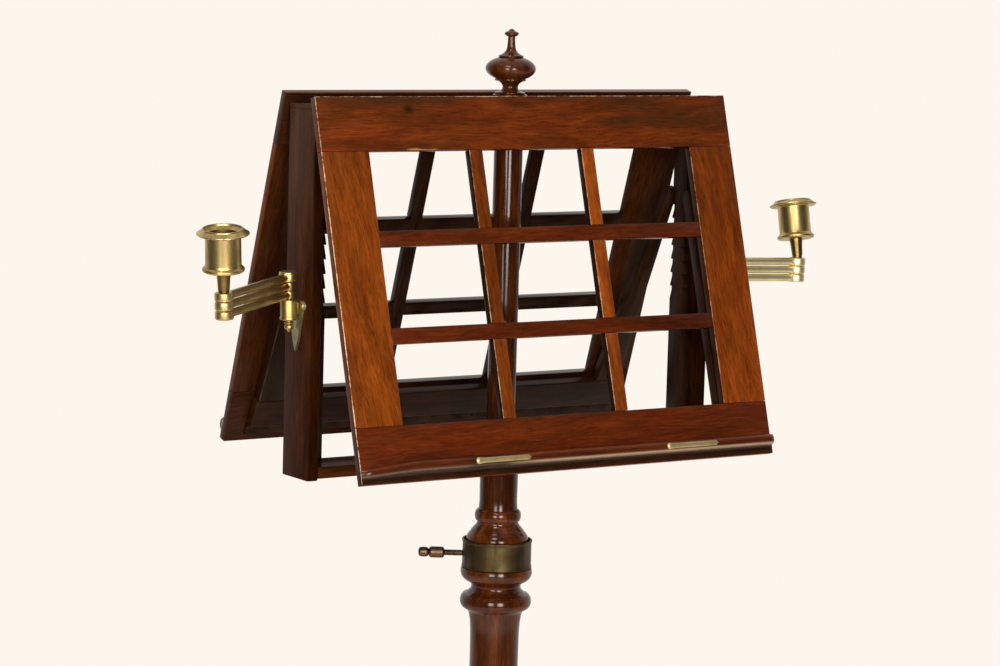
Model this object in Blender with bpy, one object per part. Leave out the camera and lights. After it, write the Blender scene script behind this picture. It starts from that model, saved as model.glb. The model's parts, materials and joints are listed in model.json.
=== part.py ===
"""Duet music stand: two lattice desks on a swivelling frame, with folding candle arms, on a rising column.

Metres, +Z up. The origin is on the floor below the pole. The front desk faces -Y.
"""

import math

import bmesh
import bpy
from mathutils import Euler, Matrix, Vector

for old in list(bpy.data.objects):
    bpy.data.objects.remove(old, do_unlink=True)

# Clearances
GAP = 0.0003
RUNNING_GAP = 0.0003
LAP_GAP = 0.0003

# Heights are measured from the floor, drops from the desks' upper edges.
DESK_TOP = 1.140

# Desks
DESK_WIDTH = 0.470
DESK_LENGTH = 0.360
DESK_THICKNESS = 0.008
DESK_TOP_SPREAD = 0.0304
TOP_RAIL = 0.0514
BOTTOM_RAIL = 0.0521
STILE = 0.0508
ARRIS = 0.0014
# The two desks differ a little, as the photograph shows. Uprights and clips are placed along the hinge.
DESKS = {
    "front": {
        "tilt": math.radians(16.2),
        "rise": 0.0,
        "bar": 0.0145,
        "uprights": (-0.0667, 0.0614),
        "crossbar_drops": (0.1342, 0.2250),
        "clips": (-0.1155, 0.1025),
    },
    "rear": {
        "tilt": math.radians(17.4),
        "rise": 0.0029,
        "bar": 0.0135,
        "uprights": (-0.0639, 0.0639),
        "crossbar_drops": (0.1375, 0.2272),
        "clips": (-0.1120, 0.1120),
    },
}

# Desk hinges
HINGE_DROP = 0.010
HINGE_OFFSET = 0.0026
HINGE_SPREAD = 0.125
HINGE_LENGTH = 0.050
KNUCKLE_RADIUS = 0.0022
LEAF_THICKNESS = 0.0016
LEAF_HEIGHT = 0.016

# Ledges and page clips
LEDGE_BASE = 0.0005
LEDGE_FOOT = 0.0016
LEDGE_COVE_TOP = 0.0088
LEDGE_BEAD_RADIUS = 0.0049
LEDGE_BEAD_OUT = 0.0073
LEDGE_BEAD_UP = 0.0136
LEDGE_END_RADIUS = 0.010
CLIP_LENGTH = 0.058
CLIP_WIDTH = 0.005
CLIP_EYE_RADIUS = 0.0036
CLIP_THICKNESS = 0.0012

# Struts
STRUT_DROP = 0.3355
STRUT_LENGTH = 0.256
STRUT_THICKNESS = 0.0105
STRUT_CLEARANCE = 0.0005
STRUT_FOOT_WIDTH = 0.027
STRUT_TIP_WIDTH = 0.0095
STRUT_ARM_OUT = 0.2125
STRUT_RAIL_HALF = 0.2145
STRUT_RAIL_HEIGHT = 0.029
STRUT_TIP_SPREAD = 0.0123
STRUT_TIP_CUT = 0.0028
STRUT_LEAF_HEIGHT = 0.010

# Frame between the desks
POST_OUTER = 0.2302
POST_INNER = 0.2187
POST_HALF_DEPTH = 0.0239
POST_TOP_DROP = 0.0081
POST_BOTTOM_DROP = 0.3590
POST_ROUND = 0.0015
TOP_RAIL_HALF_DEPTH = 0.0186
TOP_RAIL_HEIGHT = 0.022
LOW_RAIL_TOP_DROP = 0.3462
LOW_RAIL_BOTTOM_DROP = 0.3573
LOW_RAIL_HALF_DEPTH = 0.0236

# Toothed racks on the posts
RACK_WIDTH = 0.0107
RACK_HALF_DEPTH = 0.011
RACK_TOOTH_DEPTH = 0.004
RACK_TOOTH_FLAT = 0.0015
RACK_FIRST_LEDGE = 0.098
RACK_PITCH = 0.0137
RACK_TEETH = 8

# Pole, finial and column
ROD_RADIUS = 0.0120
ROD_LENGTH = 0.400
POLE_UPPER_RADIUS = 0.0139
POLE_LOWER_RADIUS = 0.0182
POLE_SEAT_DROP = 0.4371
FINIAL_PIN_RADIUS = 0.0050
FINIAL_PIN_LENGTH = 0.022
COLUMN_TOP_DROP = 0.4377
ROD_END_ROOM = 0.0114
COLUMN_NECK_RADIUS = 0.0295
SHAFT_RADIUS = 0.0233
HUB_RADIUS = 0.036
HUB_TOP = 0.206

# Collar and thumbscrew
COLLAR_RADIUS = 0.0344
COLLAR_BOTTOM_DROP = 0.4624
COLLAR_TOP_DROP = 0.4349
COLLAR_RIM = 0.0024
COLLAR_LIP = 0.0020
THUMB_DROP = 0.450
THUMB_HEADING = math.radians(146.4)
THUMB_RADIUS = 0.0030
THUMB_HOLE_RADIUS = 0.0034
THUMB_REACH = 0.0174
PAD_LENGTH = 0.003

# Legs
LEG_COUNT = 3
LEG_REACH = 0.280
LEG_WIDTH = 0.022
LEG_INNER = 0.024
LEG_TOP = 0.196
LEG_BOTTOM = 0.100
LEG_FOOT = 0.044

# Candle arms
SOCKET_OUT = 0.2407
SOCKET_DROP = 0.1896
ARM_LENGTH = 0.115
ARM_WIDTH = 0.008
ARM_HEIGHT = 0.0060
ARM_PITCH = 0.0084
KNUCKLE_HEIGHT = 0.0080
INNER_KNUCKLE = 0.0060
OUTER_KNUCKLE = 0.0086
ARM_PIN = 0.0025
ARM_PIN_LENGTH = 0.0060
SOCKET_PIN = 0.0028
SOCKET_PIN_LENGTH = 0.014
CAP_RADIUS = 0.0086
CAP_HEIGHT = 0.003
BOSS_RADIUS = 0.0074
PLATE_THICKNESS = 0.0025
PLATE_TOP_DROP = 0.1900
PLATE_TIP_DROP = 0.2390
LOBE_RADIUS = 0.0050
LOBE_SPREAD = 0.0120
LOBE_DROP = 0.1955
STUB_RADIUS = 0.0050
STUB_HEIGHT = 0.0040
STEM_LOWER_RADIUS = 0.0055
STEM_UPPER_RADIUS = 0.0067
CUP_STEM = 0.017
CUP_MOUTH = 0.0185
CUP_RIM = 0.0243
CUP_RIM_FALL = 0.0055
CUP_BARREL = 0.0163
CUP_BEAD = 0.0190
CUP_BORE = 0.0132
CUP_HEIGHT = 0.0405
# Azimuth and droop of each folded arm, then how far its cup leans along and across the arm.
SCONCES = {
    "left": (-1, math.radians(210.3), math.radians(4.3), math.radians(4.1), math.radians(-2.9)),
    "right": (1, math.radians(-3.2), math.radians(1.7), math.radians(-0.8), math.radians(-13.6)),
}

# Facets round each kind of turned piece
TURNED_SIDES = 20
SMALL_SIDES = 12


def linear(red, green, blue):
    """Colour as written on a screen, turned into the shader's linear values."""
    return tuple((v / 255.0) ** 2.2 for v in (red, green, blue)) + (1.0,)


def material(name, colour, roughness, metallic):
    made = bpy.data.materials.new(name)
    made.use_nodes = True
    shader = made.node_tree.nodes["Principled BSDF"]
    shader.inputs["Base Color"].default_value = colour
    shader.inputs["Roughness"].default_value = roughness
    shader.inputs["Metallic"].default_value = metallic
    made.diffuse_color = colour
    return made


RAIL_WOOD = material("rail_wood", linear(110, 50, 20), 0.35, 0.0)
STILE_WOOD = material("stile_wood", linear(130, 65, 25), 0.35, 0.0)
INNER_WOOD = material("inner_wood", linear(58, 30, 18), 0.45, 0.0)
TURNED_WOOD = material("turned_wood", linear(84, 38, 18), 0.30, 0.0)
BRASS = material("brass", linear(160, 128, 66), 0.30, 1.0)
DARK_BRASS = material("dark_brass", linear(84, 68, 44), 0.40, 1.0)
DARK_IRON = material("dark_iron", linear(52, 40, 32), 0.50, 0.8)
COPPER = material("copper_brown", linear(112, 60, 40), 0.35, 1.0)


def node(name, shape, finish, parent=None, place=(0, 0, 0), turn=(0, 0, 0), smooth=False):
    """Makes a named object from a bmesh, placed under its parent."""
    bmesh.ops.recalc_face_normals(shape, faces=shape.faces)
    mesh = bpy.data.meshes.new(name)
    shape.to_mesh(mesh)
    shape.free()
    mesh.materials.append(finish)
    if smooth:
        mesh.shade_smooth()
        mesh.set_sharp_from_angle(angle=math.radians(38))
    made = bpy.data.objects.new(name, mesh)
    bpy.context.scene.collection.objects.link(made)
    made.parent = parent
    made.location = place
    made.rotation_euler = turn
    return made


def pivot(name, parent, place, turn):
    """An empty that carries the pieces turning about one axis."""
    made = bpy.data.objects.new(name, None)
    bpy.context.scene.collection.objects.link(made)
    made.empty_display_size = 0.02
    made.parent = parent
    made.location = place
    made.rotation_euler = turn
    return made


def loft(rings):
    """A closed solid through rings of points, with a flat face at each end."""
    shape = bmesh.new()
    rows = [[shape.verts.new(p) for p in ring] for ring in rings]
    for low, high in zip(rows, rows[1:]):
        for i in range(len(low)):
            j = (i + 1) % len(low)
            shape.faces.new((low[i], low[j], high[j], high[i]))
    shape.faces.new(rows[0])
    shape.faces.new(rows[-1])
    return shape


def extrusion(outline, axis, low, high):
    """A prism of a flat outline along x, y or z; the outline holds the other two coordinates in order."""

    def point(pair, along):
        values = list(pair)
        values.insert("xyz".index(axis), along)
        return values

    return loft([[point(p, along) for p in outline] for along in (low, high)])


def box(low, high):
    outline = [(low[0], low[1]), (high[0], low[1]), (high[0], high[1]), (low[0], high[1])]
    return extrusion(outline, "z", low[2], high[2])


def arc(centre, radius, start, end, steps):
    """Points of an arc, angles in degrees."""
    angles = [math.radians(start + (end - start) * i / steps) for i in range(steps + 1)]
    return [(centre[0] + radius * math.cos(a), centre[1] + radius * math.sin(a)) for a in angles]


def rounded(low, high, radius, steps=2):
    """A rectangle outline with its four corners rounded."""
    inset = [(low[0] + radius, low[1] + radius), (high[0] - radius, low[1] + radius)]
    inset += [(high[0] - radius, high[1] - radius), (low[0] + radius, high[1] - radius)]
    outline = []
    for corner, start in zip(inset, (180, 270, 360, 450)):
        outline += arc(corner, radius, start, start + 90, steps)
    return outline


def lathe(profile, sides, ring=False):
    """Turns (radius, height) points about z. A ring joins its last point to its first."""
    shape = bmesh.new()
    rows = []
    for radius, height in profile:
        if radius == 0:
            rows.append([shape.verts.new((0, 0, height))])
            continue
        angles = [2 * math.pi * i / sides for i in range(sides)]
        rows.append([shape.verts.new((radius * math.cos(a), radius * math.sin(a), height)) for a in angles])
    pairs = list(zip(rows, rows[1:]))
    if ring:
        pairs.append((rows[-1], rows[0]))
    for low, high in pairs:
        for i in range(sides):
            j = (i + 1) % sides
            corners = [low[i % len(low)], low[j % len(low)], high[j % len(high)], high[i % len(high)]]
            shape.faces.new(list(dict.fromkeys(corners)))
    return shape


def cylinder(radius, low, high, sides=SMALL_SIDES):
    return lathe([(0, low), (radius, low), (radius, high), (0, high)], sides)


def moved(shape, matrix):
    bmesh.ops.transform(shape, matrix=matrix, verts=shape.verts)
    return shape


def shifted(shape, x, y, z):
    return moved(shape, Matrix.Translation((x, y, z)))


def combined(base, tools, operation):
    """The exact Boolean of one shape with others."""
    helpers = []
    for shape in [base] + tools:
        bmesh.ops.recalc_face_normals(shape, faces=shape.faces)
        mesh = bpy.data.meshes.new("helper")
        shape.to_mesh(mesh)
        shape.free()
        helper = bpy.data.objects.new("helper", mesh)
        bpy.context.scene.collection.objects.link(helper)
        helpers.append(helper)
    for tool in helpers[1:]:
        step = helpers[0].modifiers.new(operation, "BOOLEAN")
        step.operation = operation
        step.solver = "EXACT"
        step.object = tool
    evaluated = helpers[0].evaluated_get(bpy.context.evaluated_depsgraph_get())
    result = bmesh.new()
    mesh = bpy.data.meshes.new_from_object(evaluated)
    result.from_mesh(mesh)
    bpy.data.meshes.remove(mesh)
    for helper in helpers:
        bpy.data.meshes.remove(helper.data, do_unlink=True)
    return result


def union(base, *tools):
    return combined(base, list(tools), "UNION")


def cut(base, *tools):
    return combined(base, list(tools), "DIFFERENCE")


# Column, with a bore for the rod, housings for the legs and a cross hole for the thumbscrew
column_top = DESK_TOP - COLUMN_TOP_DROP
collar_bottom = DESK_TOP - COLLAR_BOTTOM_DROP
collar_top = DESK_TOP - COLLAR_TOP_DROP
bore_radius = ROD_RADIUS + RUNNING_GAP
rod_bottom = DESK_TOP - POLE_SEAT_DROP - ROD_LENGTH
bore_bottom = rod_bottom - ROD_END_ROOM
thumb_height = DESK_TOP - THUMB_DROP
thumb_way = Vector((math.cos(THUMB_HEADING), math.sin(THUMB_HEADING), 0))
thumb_turn = thumb_way.to_track_quat("Z", "Y").to_euler()
thumb_place = Vector((0, 0, thumb_height))
thumb_matrix = Matrix.Translation(thumb_place) @ thumb_turn.to_matrix().to_4x4()

column_profile = [
    (0, 0.060),
    (0.010, 0.062),
    (0.019, 0.070),
    (0.020, 0.080),
    (0.034, 0.087),
    (HUB_RADIUS, 0.092),
    (HUB_RADIUS, HUB_TOP),
    (0.041, HUB_TOP + 0.004),
    (0.041, HUB_TOP + 0.012),
    (0.034, HUB_TOP + 0.017),
    (0.023, HUB_TOP + 0.032),
    (0.024, HUB_TOP + 0.052),
    (0.032, HUB_TOP + 0.092),
    (0.036, HUB_TOP + 0.124),
    (0.033, HUB_TOP + 0.160),
    (0.025, HUB_TOP + 0.194),
    (0.025, HUB_TOP + 0.206),
    (0.031, HUB_TOP + 0.211),
    (0.031, HUB_TOP + 0.220),
    (SHAFT_RADIUS, HUB_TOP + 0.234),
]
# The turned mouldings below the collar, as seen in the photograph
column_profile += [
    (SHAFT_RADIUS, DESK_TOP - 0.528),
    (0.0240, DESK_TOP - 0.516),
    (0.0273, DESK_TOP - 0.506),
    (0.0325, DESK_TOP - 0.5025),
    (0.0350, DESK_TOP - 0.496),
    (0.0325, DESK_TOP - 0.4895),
    (0.0258, DESK_TOP - 0.4852),
    (0.0243, DESK_TOP - 0.4824),
    (0.0262, DESK_TOP - 0.4778),
    (0.0312, DESK_TOP - 0.4748),
    (0.0350, DESK_TOP - 0.4692),
    (0.0342, DESK_TOP - 0.4634),
    (COLUMN_NECK_RADIUS, collar_bottom - GAP),
    (COLUMN_NECK_RADIUS, column_top),
    (bore_radius, column_top),
    (bore_radius, bore_bottom),
    (0, bore_bottom),
]
housings = []
for index in range(LEG_COUNT):
    half = LEG_WIDTH / 2 + GAP
    slot = box((LEG_INNER - GAP, -half, -0.01), (HUB_RADIUS + 0.02, half, LEG_TOP + GAP))
    housings.append(moved(slot, Matrix.Rotation(2 * math.pi * index / LEG_COUNT, 4, "Z")))
cross_hole = moved(cylinder(THUMB_HOLE_RADIUS, ROD_RADIUS - 0.004, COLLAR_RADIUS + 0.01), thumb_matrix)
node("column", cut(lathe(column_profile, TURNED_SIDES), cross_hole, *housings), TURNED_WOOD, smooth=True)

# Legs, each an S-curved board on a flat foot
def bezier(points, steps):
    values = []
    for i in range(steps + 1):
        t = i / steps
        weights = ((1 - t) ** 3, 3 * t * (1 - t) ** 2, 3 * t * t * (1 - t), t**3)
        values.append(tuple(sum(w * p[k] for w, p in zip(weights, points)) for k in (0, 1)))
    return values


upper_edge = [(LEG_INNER, LEG_TOP), (0.118, 0.205), (0.135, 0.034), (LEG_REACH - 0.016, 0.030)]
lower_edge = [(LEG_REACH - LEG_FOOT, 0.006), (0.125, 0.006), (0.105, 0.108), (LEG_INNER, LEG_BOTTOM)]
leg_outline = bezier(upper_edge, 10)
leg_outline += arc((LEG_REACH - 0.015, 0.015), 0.015, 90, -90, 5)
leg_outline += [(LEG_REACH - LEG_FOOT, 0.0)]
leg_outline += bezier(lower_edge, 10)
for index in range(LEG_COUNT):
    leg = extrusion(leg_outline, "y", -LEG_WIDTH / 2, LEG_WIDTH / 2)
    node(f"leg_{index + 1}", leg, TURNED_WOOD, turn=(0, 0, 2 * math.pi * index / LEG_COUNT))

# Collar
collar_inner = COLUMN_NECK_RADIUS + GAP
collar_waist = COLLAR_RADIUS - 0.0012
collar_lip = COLLAR_RADIUS - COLLAR_LIP
collar_profile = [
    (collar_inner, collar_bottom),
    (COLLAR_RADIUS - 0.0006, collar_bottom),
    (COLLAR_RADIUS, collar_bottom + 0.0006),
    (COLLAR_RADIUS, collar_bottom + COLLAR_RIM),
    (collar_waist, collar_bottom + COLLAR_RIM + 0.0008),
    (collar_waist, collar_top - COLLAR_RIM - 0.0008),
    (COLLAR_RADIUS, collar_top - COLLAR_RIM),
    (COLLAR_RADIUS, collar_top - 0.0006),
    (COLLAR_RADIUS - 0.0006, collar_top),
    (collar_lip, collar_top),
    (collar_lip, column_top),
    (collar_inner, column_top),
]
collar_hole = moved(cylinder(THUMB_HOLE_RADIUS, ROD_RADIUS, COLLAR_RADIUS + 0.01), thumb_matrix)
node("collar", cut(lathe(collar_profile, TURNED_SIDES, ring=True), collar_hole), DARK_BRASS, smooth=True)

# Clamp pad and thumbscrew, on an axis square to the pole
pad_start = bore_radius + 0.0001
pad_end = pad_start + PAD_LENGTH
pad = cylinder(THUMB_RADIUS, pad_start, pad_end)
node("clamp_pad", pad, BRASS, place=thumb_place, turn=thumb_turn, smooth=True)
shank_end = COLLAR_RADIUS + THUMB_REACH
thumb_profile = [
    (0, pad_end + GAP),
    (THUMB_RADIUS, pad_end + GAP),
    (THUMB_RADIUS, shank_end),
    (0.0048, shank_end + 0.0006),
    (0.0055, shank_end + 0.0026),
    (0.0055, shank_end + 0.0120),
    (0.0046, shank_end + 0.0140),
    (0.0030, shank_end + 0.0150),
    (0.0042, shank_end + 0.0162),
    (0.0048, shank_end + 0.0185),
    (0.0048, shank_end + 0.0220),
    (0.0036, shank_end + 0.0246),
    (0, shank_end + 0.0252),
]
node("thumbscrew", lathe(thumb_profile, SMALL_SIDES), COPPER, place=thumb_place, turn=thumb_turn, smooth=True)

# Pole: the sliding rod, a turned shoulder on the collar, and the spindle that the frame turns on
post_top = DESK_TOP - POST_TOP_DROP
pole_top = post_top - GAP
low_rail_bottom = DESK_TOP - LOW_RAIL_BOTTOM_DROP
pin_hole = FINIAL_PIN_RADIUS + GAP
pin_hole_bottom = pole_top - FINIAL_PIN_LENGTH - 2 * GAP
pole_profile = [
    (0, rod_bottom),
    (ROD_RADIUS, rod_bottom),
    (ROD_RADIUS, DESK_TOP - POLE_SEAT_DROP),
    (0.0296, DESK_TOP - POLE_SEAT_DROP),
    (0.0303, DESK_TOP - 0.4345),
    (0.0299, DESK_TOP - 0.4322),
    (0.0276, DESK_TOP - 0.4284),
    (0.0240, DESK_TOP - 0.4233),
    (0.0202, DESK_TOP - 0.4180),
    (0.0218, DESK_TOP - 0.4158),
    (0.0226, DESK_TOP - 0.4113),
    (0.0218, DESK_TOP - 0.4068),
    (0.0186, DESK_TOP - 0.4046),
    (0.0178, DESK_TOP - 0.3950),
    (POLE_LOWER_RADIUS, low_rail_bottom - 0.012),
    (POLE_LOWER_RADIUS + 0.001, low_rail_bottom - GAP),
    (POLE_UPPER_RADIUS, low_rail_bottom - GAP),
    (POLE_UPPER_RADIUS, pole_top),
    (pin_hole, pole_top),
    (pin_hole, pin_hole_bottom),
    (0, pin_hole_bottom),
]
node("pole", lathe(pole_profile, TURNED_SIDES), TURNED_WOOD, smooth=True)

# Finial, pinned into the pole so that it keeps the frame on
finial_base = post_top + GAP
finial_profile = [
    (0, finial_base - FINIAL_PIN_LENGTH),
    (FINIAL_PIN_RADIUS, finial_base - FINIAL_PIN_LENGTH),
    (FINIAL_PIN_RADIUS, finial_base),
    (0.0160, finial_base),
    (0.0166, DESK_TOP - 0.0060),
    (0.0166, DESK_TOP - 0.0012),
    (0.0146, DESK_TOP + 0.0004),
    (0.0140, DESK_TOP + 0.0030),
    (0.0095, DESK_TOP + 0.0048),
    (0.0072, DESK_TOP + 0.0072),
    (0.0082, DESK_TOP + 0.0108),
    (0.0142, DESK_TOP + 0.0145),
    (0.0145, DESK_TOP + 0.0160),
    (0.0195, DESK_TOP + 0.0188),
    (0.0232, DESK_TOP + 0.0225),
    (0.0238, DESK_TOP + 0.0251),
    (0.0225, DESK_TOP + 0.0290),
    (0.0180, DESK_TOP + 0.0330),
    (0.0116, DESK_TOP + 0.0360),
    (0.0116, DESK_TOP + 0.0378),
    (0.0070, DESK_TOP + 0.0402),
    (0.0036, DESK_TOP + 0.0443),
    (0.0030, DESK_TOP + 0.0546),
    (0.0058, DESK_TOP + 0.0560),
    (0.0067, DESK_TOP + 0.0582),
    (0.0050, DESK_TOP + 0.0615),
    (0, DESK_TOP + 0.0629),
]
node("finial", lathe(finial_profile, TURNED_SIDES), TURNED_WOOD, smooth=True)

# Frame: two posts and two rails that turn on the pole
post_bottom = DESK_TOP - POST_BOTTOM_DROP
rail_half = POST_INNER - GAP
pole_hole = POLE_UPPER_RADIUS + RUNNING_GAP + 0.0002
for side, sign in (("left", -1), ("right", 1)):
    edges = sorted((sign * POST_INNER, sign * POST_OUTER))
    outline = rounded((edges[0], -POST_HALF_DEPTH), (edges[1], POST_HALF_DEPTH), POST_ROUND)
    node(f"post_{side}", extrusion(outline, "z", post_bottom, post_top), RAIL_WOOD)

top_rail_bottom = post_top - TOP_RAIL_HEIGHT
top_rail_low = (-rail_half, -TOP_RAIL_HALF_DEPTH, top_rail_bottom)
top_rail = box(top_rail_low, (rail_half, TOP_RAIL_HALF_DEPTH, post_top))
top_hole = cylinder(pole_hole, top_rail_bottom - 0.01, post_top + 0.01, TURNED_SIDES)
node("frame_top_rail", cut(top_rail, top_hole), INNER_WOOD)

low_rail_top = DESK_TOP - LOW_RAIL_TOP_DROP
low_outline = rounded((-LOW_RAIL_HALF_DEPTH, low_rail_bottom), (LOW_RAIL_HALF_DEPTH, low_rail_top), ARRIS)
low_hole = cylinder(pole_hole, low_rail_bottom - 0.01, low_rail_top + 0.01, TURNED_SIDES)
node("frame_low_rail", cut(extrusion(low_outline, "x", -rail_half, rail_half), low_hole), RAIL_WOOD)

# Racks: each tooth has a flat underside and slopes out again below it
rack_edge = [(RACK_HALF_DEPTH, top_rail_bottom - GAP)]
for index in range(RACK_TEETH):
    ledge = DESK_TOP - RACK_FIRST_LEDGE - RACK_PITCH * index
    rack_edge += [
        (RACK_HALF_DEPTH, ledge),
        (RACK_HALF_DEPTH - RACK_TOOTH_DEPTH, ledge),
        (RACK_HALF_DEPTH, ledge - RACK_PITCH + RACK_TOOTH_FLAT),
    ]
rack_edge.append((RACK_HALF_DEPTH, low_rail_top + GAP))
rack_outline = rack_edge + [(-depth, height) for depth, height in reversed(rack_edge)]
for side, sign in (("left", -1), ("right", 1)):
    edges = sorted((sign * (rail_half - RACK_WIDTH), sign * rail_half))
    node(f"rack_{side}", extrusion(rack_outline, "x", edges[0], edges[1]), INNER_WOOD)

# Desks. In a desk's own frame x runs along the hinge, y points in towards the pole and z up the slope.
face_in = -HINGE_OFFSET
face_out = face_in - DESK_THICKNESS
middle = (face_in + face_out) / 2
half_width = DESK_WIDTH / 2
opening_half = half_width - STILE - GAP
strut_out = face_in + STRUT_CLEARANCE
strut_in = strut_out + STRUT_THICKNESS
strut_rail_bottom = KNUCKLE_RADIUS + GAP
strut_rail_top = strut_rail_bottom + STRUT_RAIL_HEIGHT


def notched(start, end, places, bar, edge_face, notch_face, other_face):
    """Side view of a bar along its length, with a lap cut in one face at each crossing."""
    reach = bar / 2 + LAP_GAP
    points = [(start, other_face), (start, edge_face)]
    for place in sorted(places):
        points += [(place - reach, edge_face), (place - reach, notch_face)]
        points += [(place + reach, notch_face), (place + reach, edge_face)]
    return points + [(end, edge_face), (end, other_face)]


def ledge_section():
    """(out from the desk's face, up from its lower edge) round the moulding."""
    cove_radius = LEDGE_COVE_TOP - LEDGE_BASE - 0.004
    cove_centre = (LEDGE_FOOT + cove_radius, LEDGE_BASE + 0.004)
    bead_centre = (LEDGE_BEAD_OUT, LEDGE_BEAD_UP)
    points = [(GAP, LEDGE_BASE), (LEDGE_FOOT, LEDGE_BASE)]
    points += arc(cove_centre, cove_radius, 180, 100, 3)
    points += arc(bead_centre, LEDGE_BEAD_RADIUS, -75, 90, 7)
    return points + [(GAP, LEDGE_BEAD_UP + LEDGE_BEAD_RADIUS)]


def ledge_shape(desk_bottom):
    """The moulding along the desk, its ends rounded in plan."""
    section = ledge_section()
    deepest = max(out for out, _ in section)
    rings = []
    for end in (-1, 1):
        steps = [math.radians(a) for a in (0, 30, 60, 90)]
        for angle in steps if end < 0 else reversed(steps):
            along = end * (half_width - LEDGE_END_RADIUS * (1 - math.cos(angle)))
            scale = 1 - LEDGE_END_RADIUS * (1 - math.sin(angle)) / deepest
            ring = [(face_out - GAP - (out - GAP) * scale, desk_bottom + up) for out, up in section]
            rings.append([(along, depth, height) for depth, height in ring])
    return loft(rings)


def clip_shape():
    """A flat brass strip from its pivot eye, out along x."""
    eye_reach = math.degrees(math.asin(CLIP_WIDTH / 2 / CLIP_EYE_RADIUS))
    outline = arc((0, 0), CLIP_EYE_RADIUS, eye_reach, 360 - eye_reach, 8)
    outline += arc((CLIP_LENGTH - CLIP_WIDTH / 2, 0), CLIP_WIDTH / 2, -90, 90, 5)
    return extrusion(outline, "y", -CLIP_THICKNESS, 0)


def strut_lean(foot_spread):
    """The angle from upright at which the strut's uncut tip comes just inside the tip's place by the rack."""
    reach = math.hypot(STRUT_LENGTH, strut_in)
    inset = foot_spread - STRUT_TIP_SPREAD + STRUT_TIP_CUT
    return math.asin(inset / reach) - math.atan2(strut_in, STRUT_LENGTH)


def strut_arm(sign, lean):
    """An arm that narrows upwards along its inner edge, its tip cut upright so that it clears the rack."""
    cut_start = STRUT_LENGTH - STRUT_TIP_CUT / math.sin(lean)
    tip_in = strut_in - STRUT_TIP_CUT / math.cos(lean)
    foot = strut_rail_top + GAP
    far = sign * STRUT_ARM_OUT
    rings = []
    for along, inner in ((foot, strut_in), (cut_start, strut_in), (STRUT_LENGTH, tip_in)):
        share = (along - foot) / (STRUT_LENGTH - foot)
        width = STRUT_FOOT_WIDTH + (STRUT_TIP_WIDTH - STRUT_FOOT_WIDTH) * share
        near = sign * (STRUT_ARM_OUT - width)
        corners = ((near, strut_out), (far, strut_out), (far, inner), (near, inner))
        rings.append([(x, y, along) for x, y in corners])
    return loft(rings)


def barrel(half_length):
    """A hinge's barrel, along x."""
    return moved(cylinder(KNUCKLE_RADIUS, -half_length, half_length), Matrix.Rotation(math.pi / 2, 4, "Y"))


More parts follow.
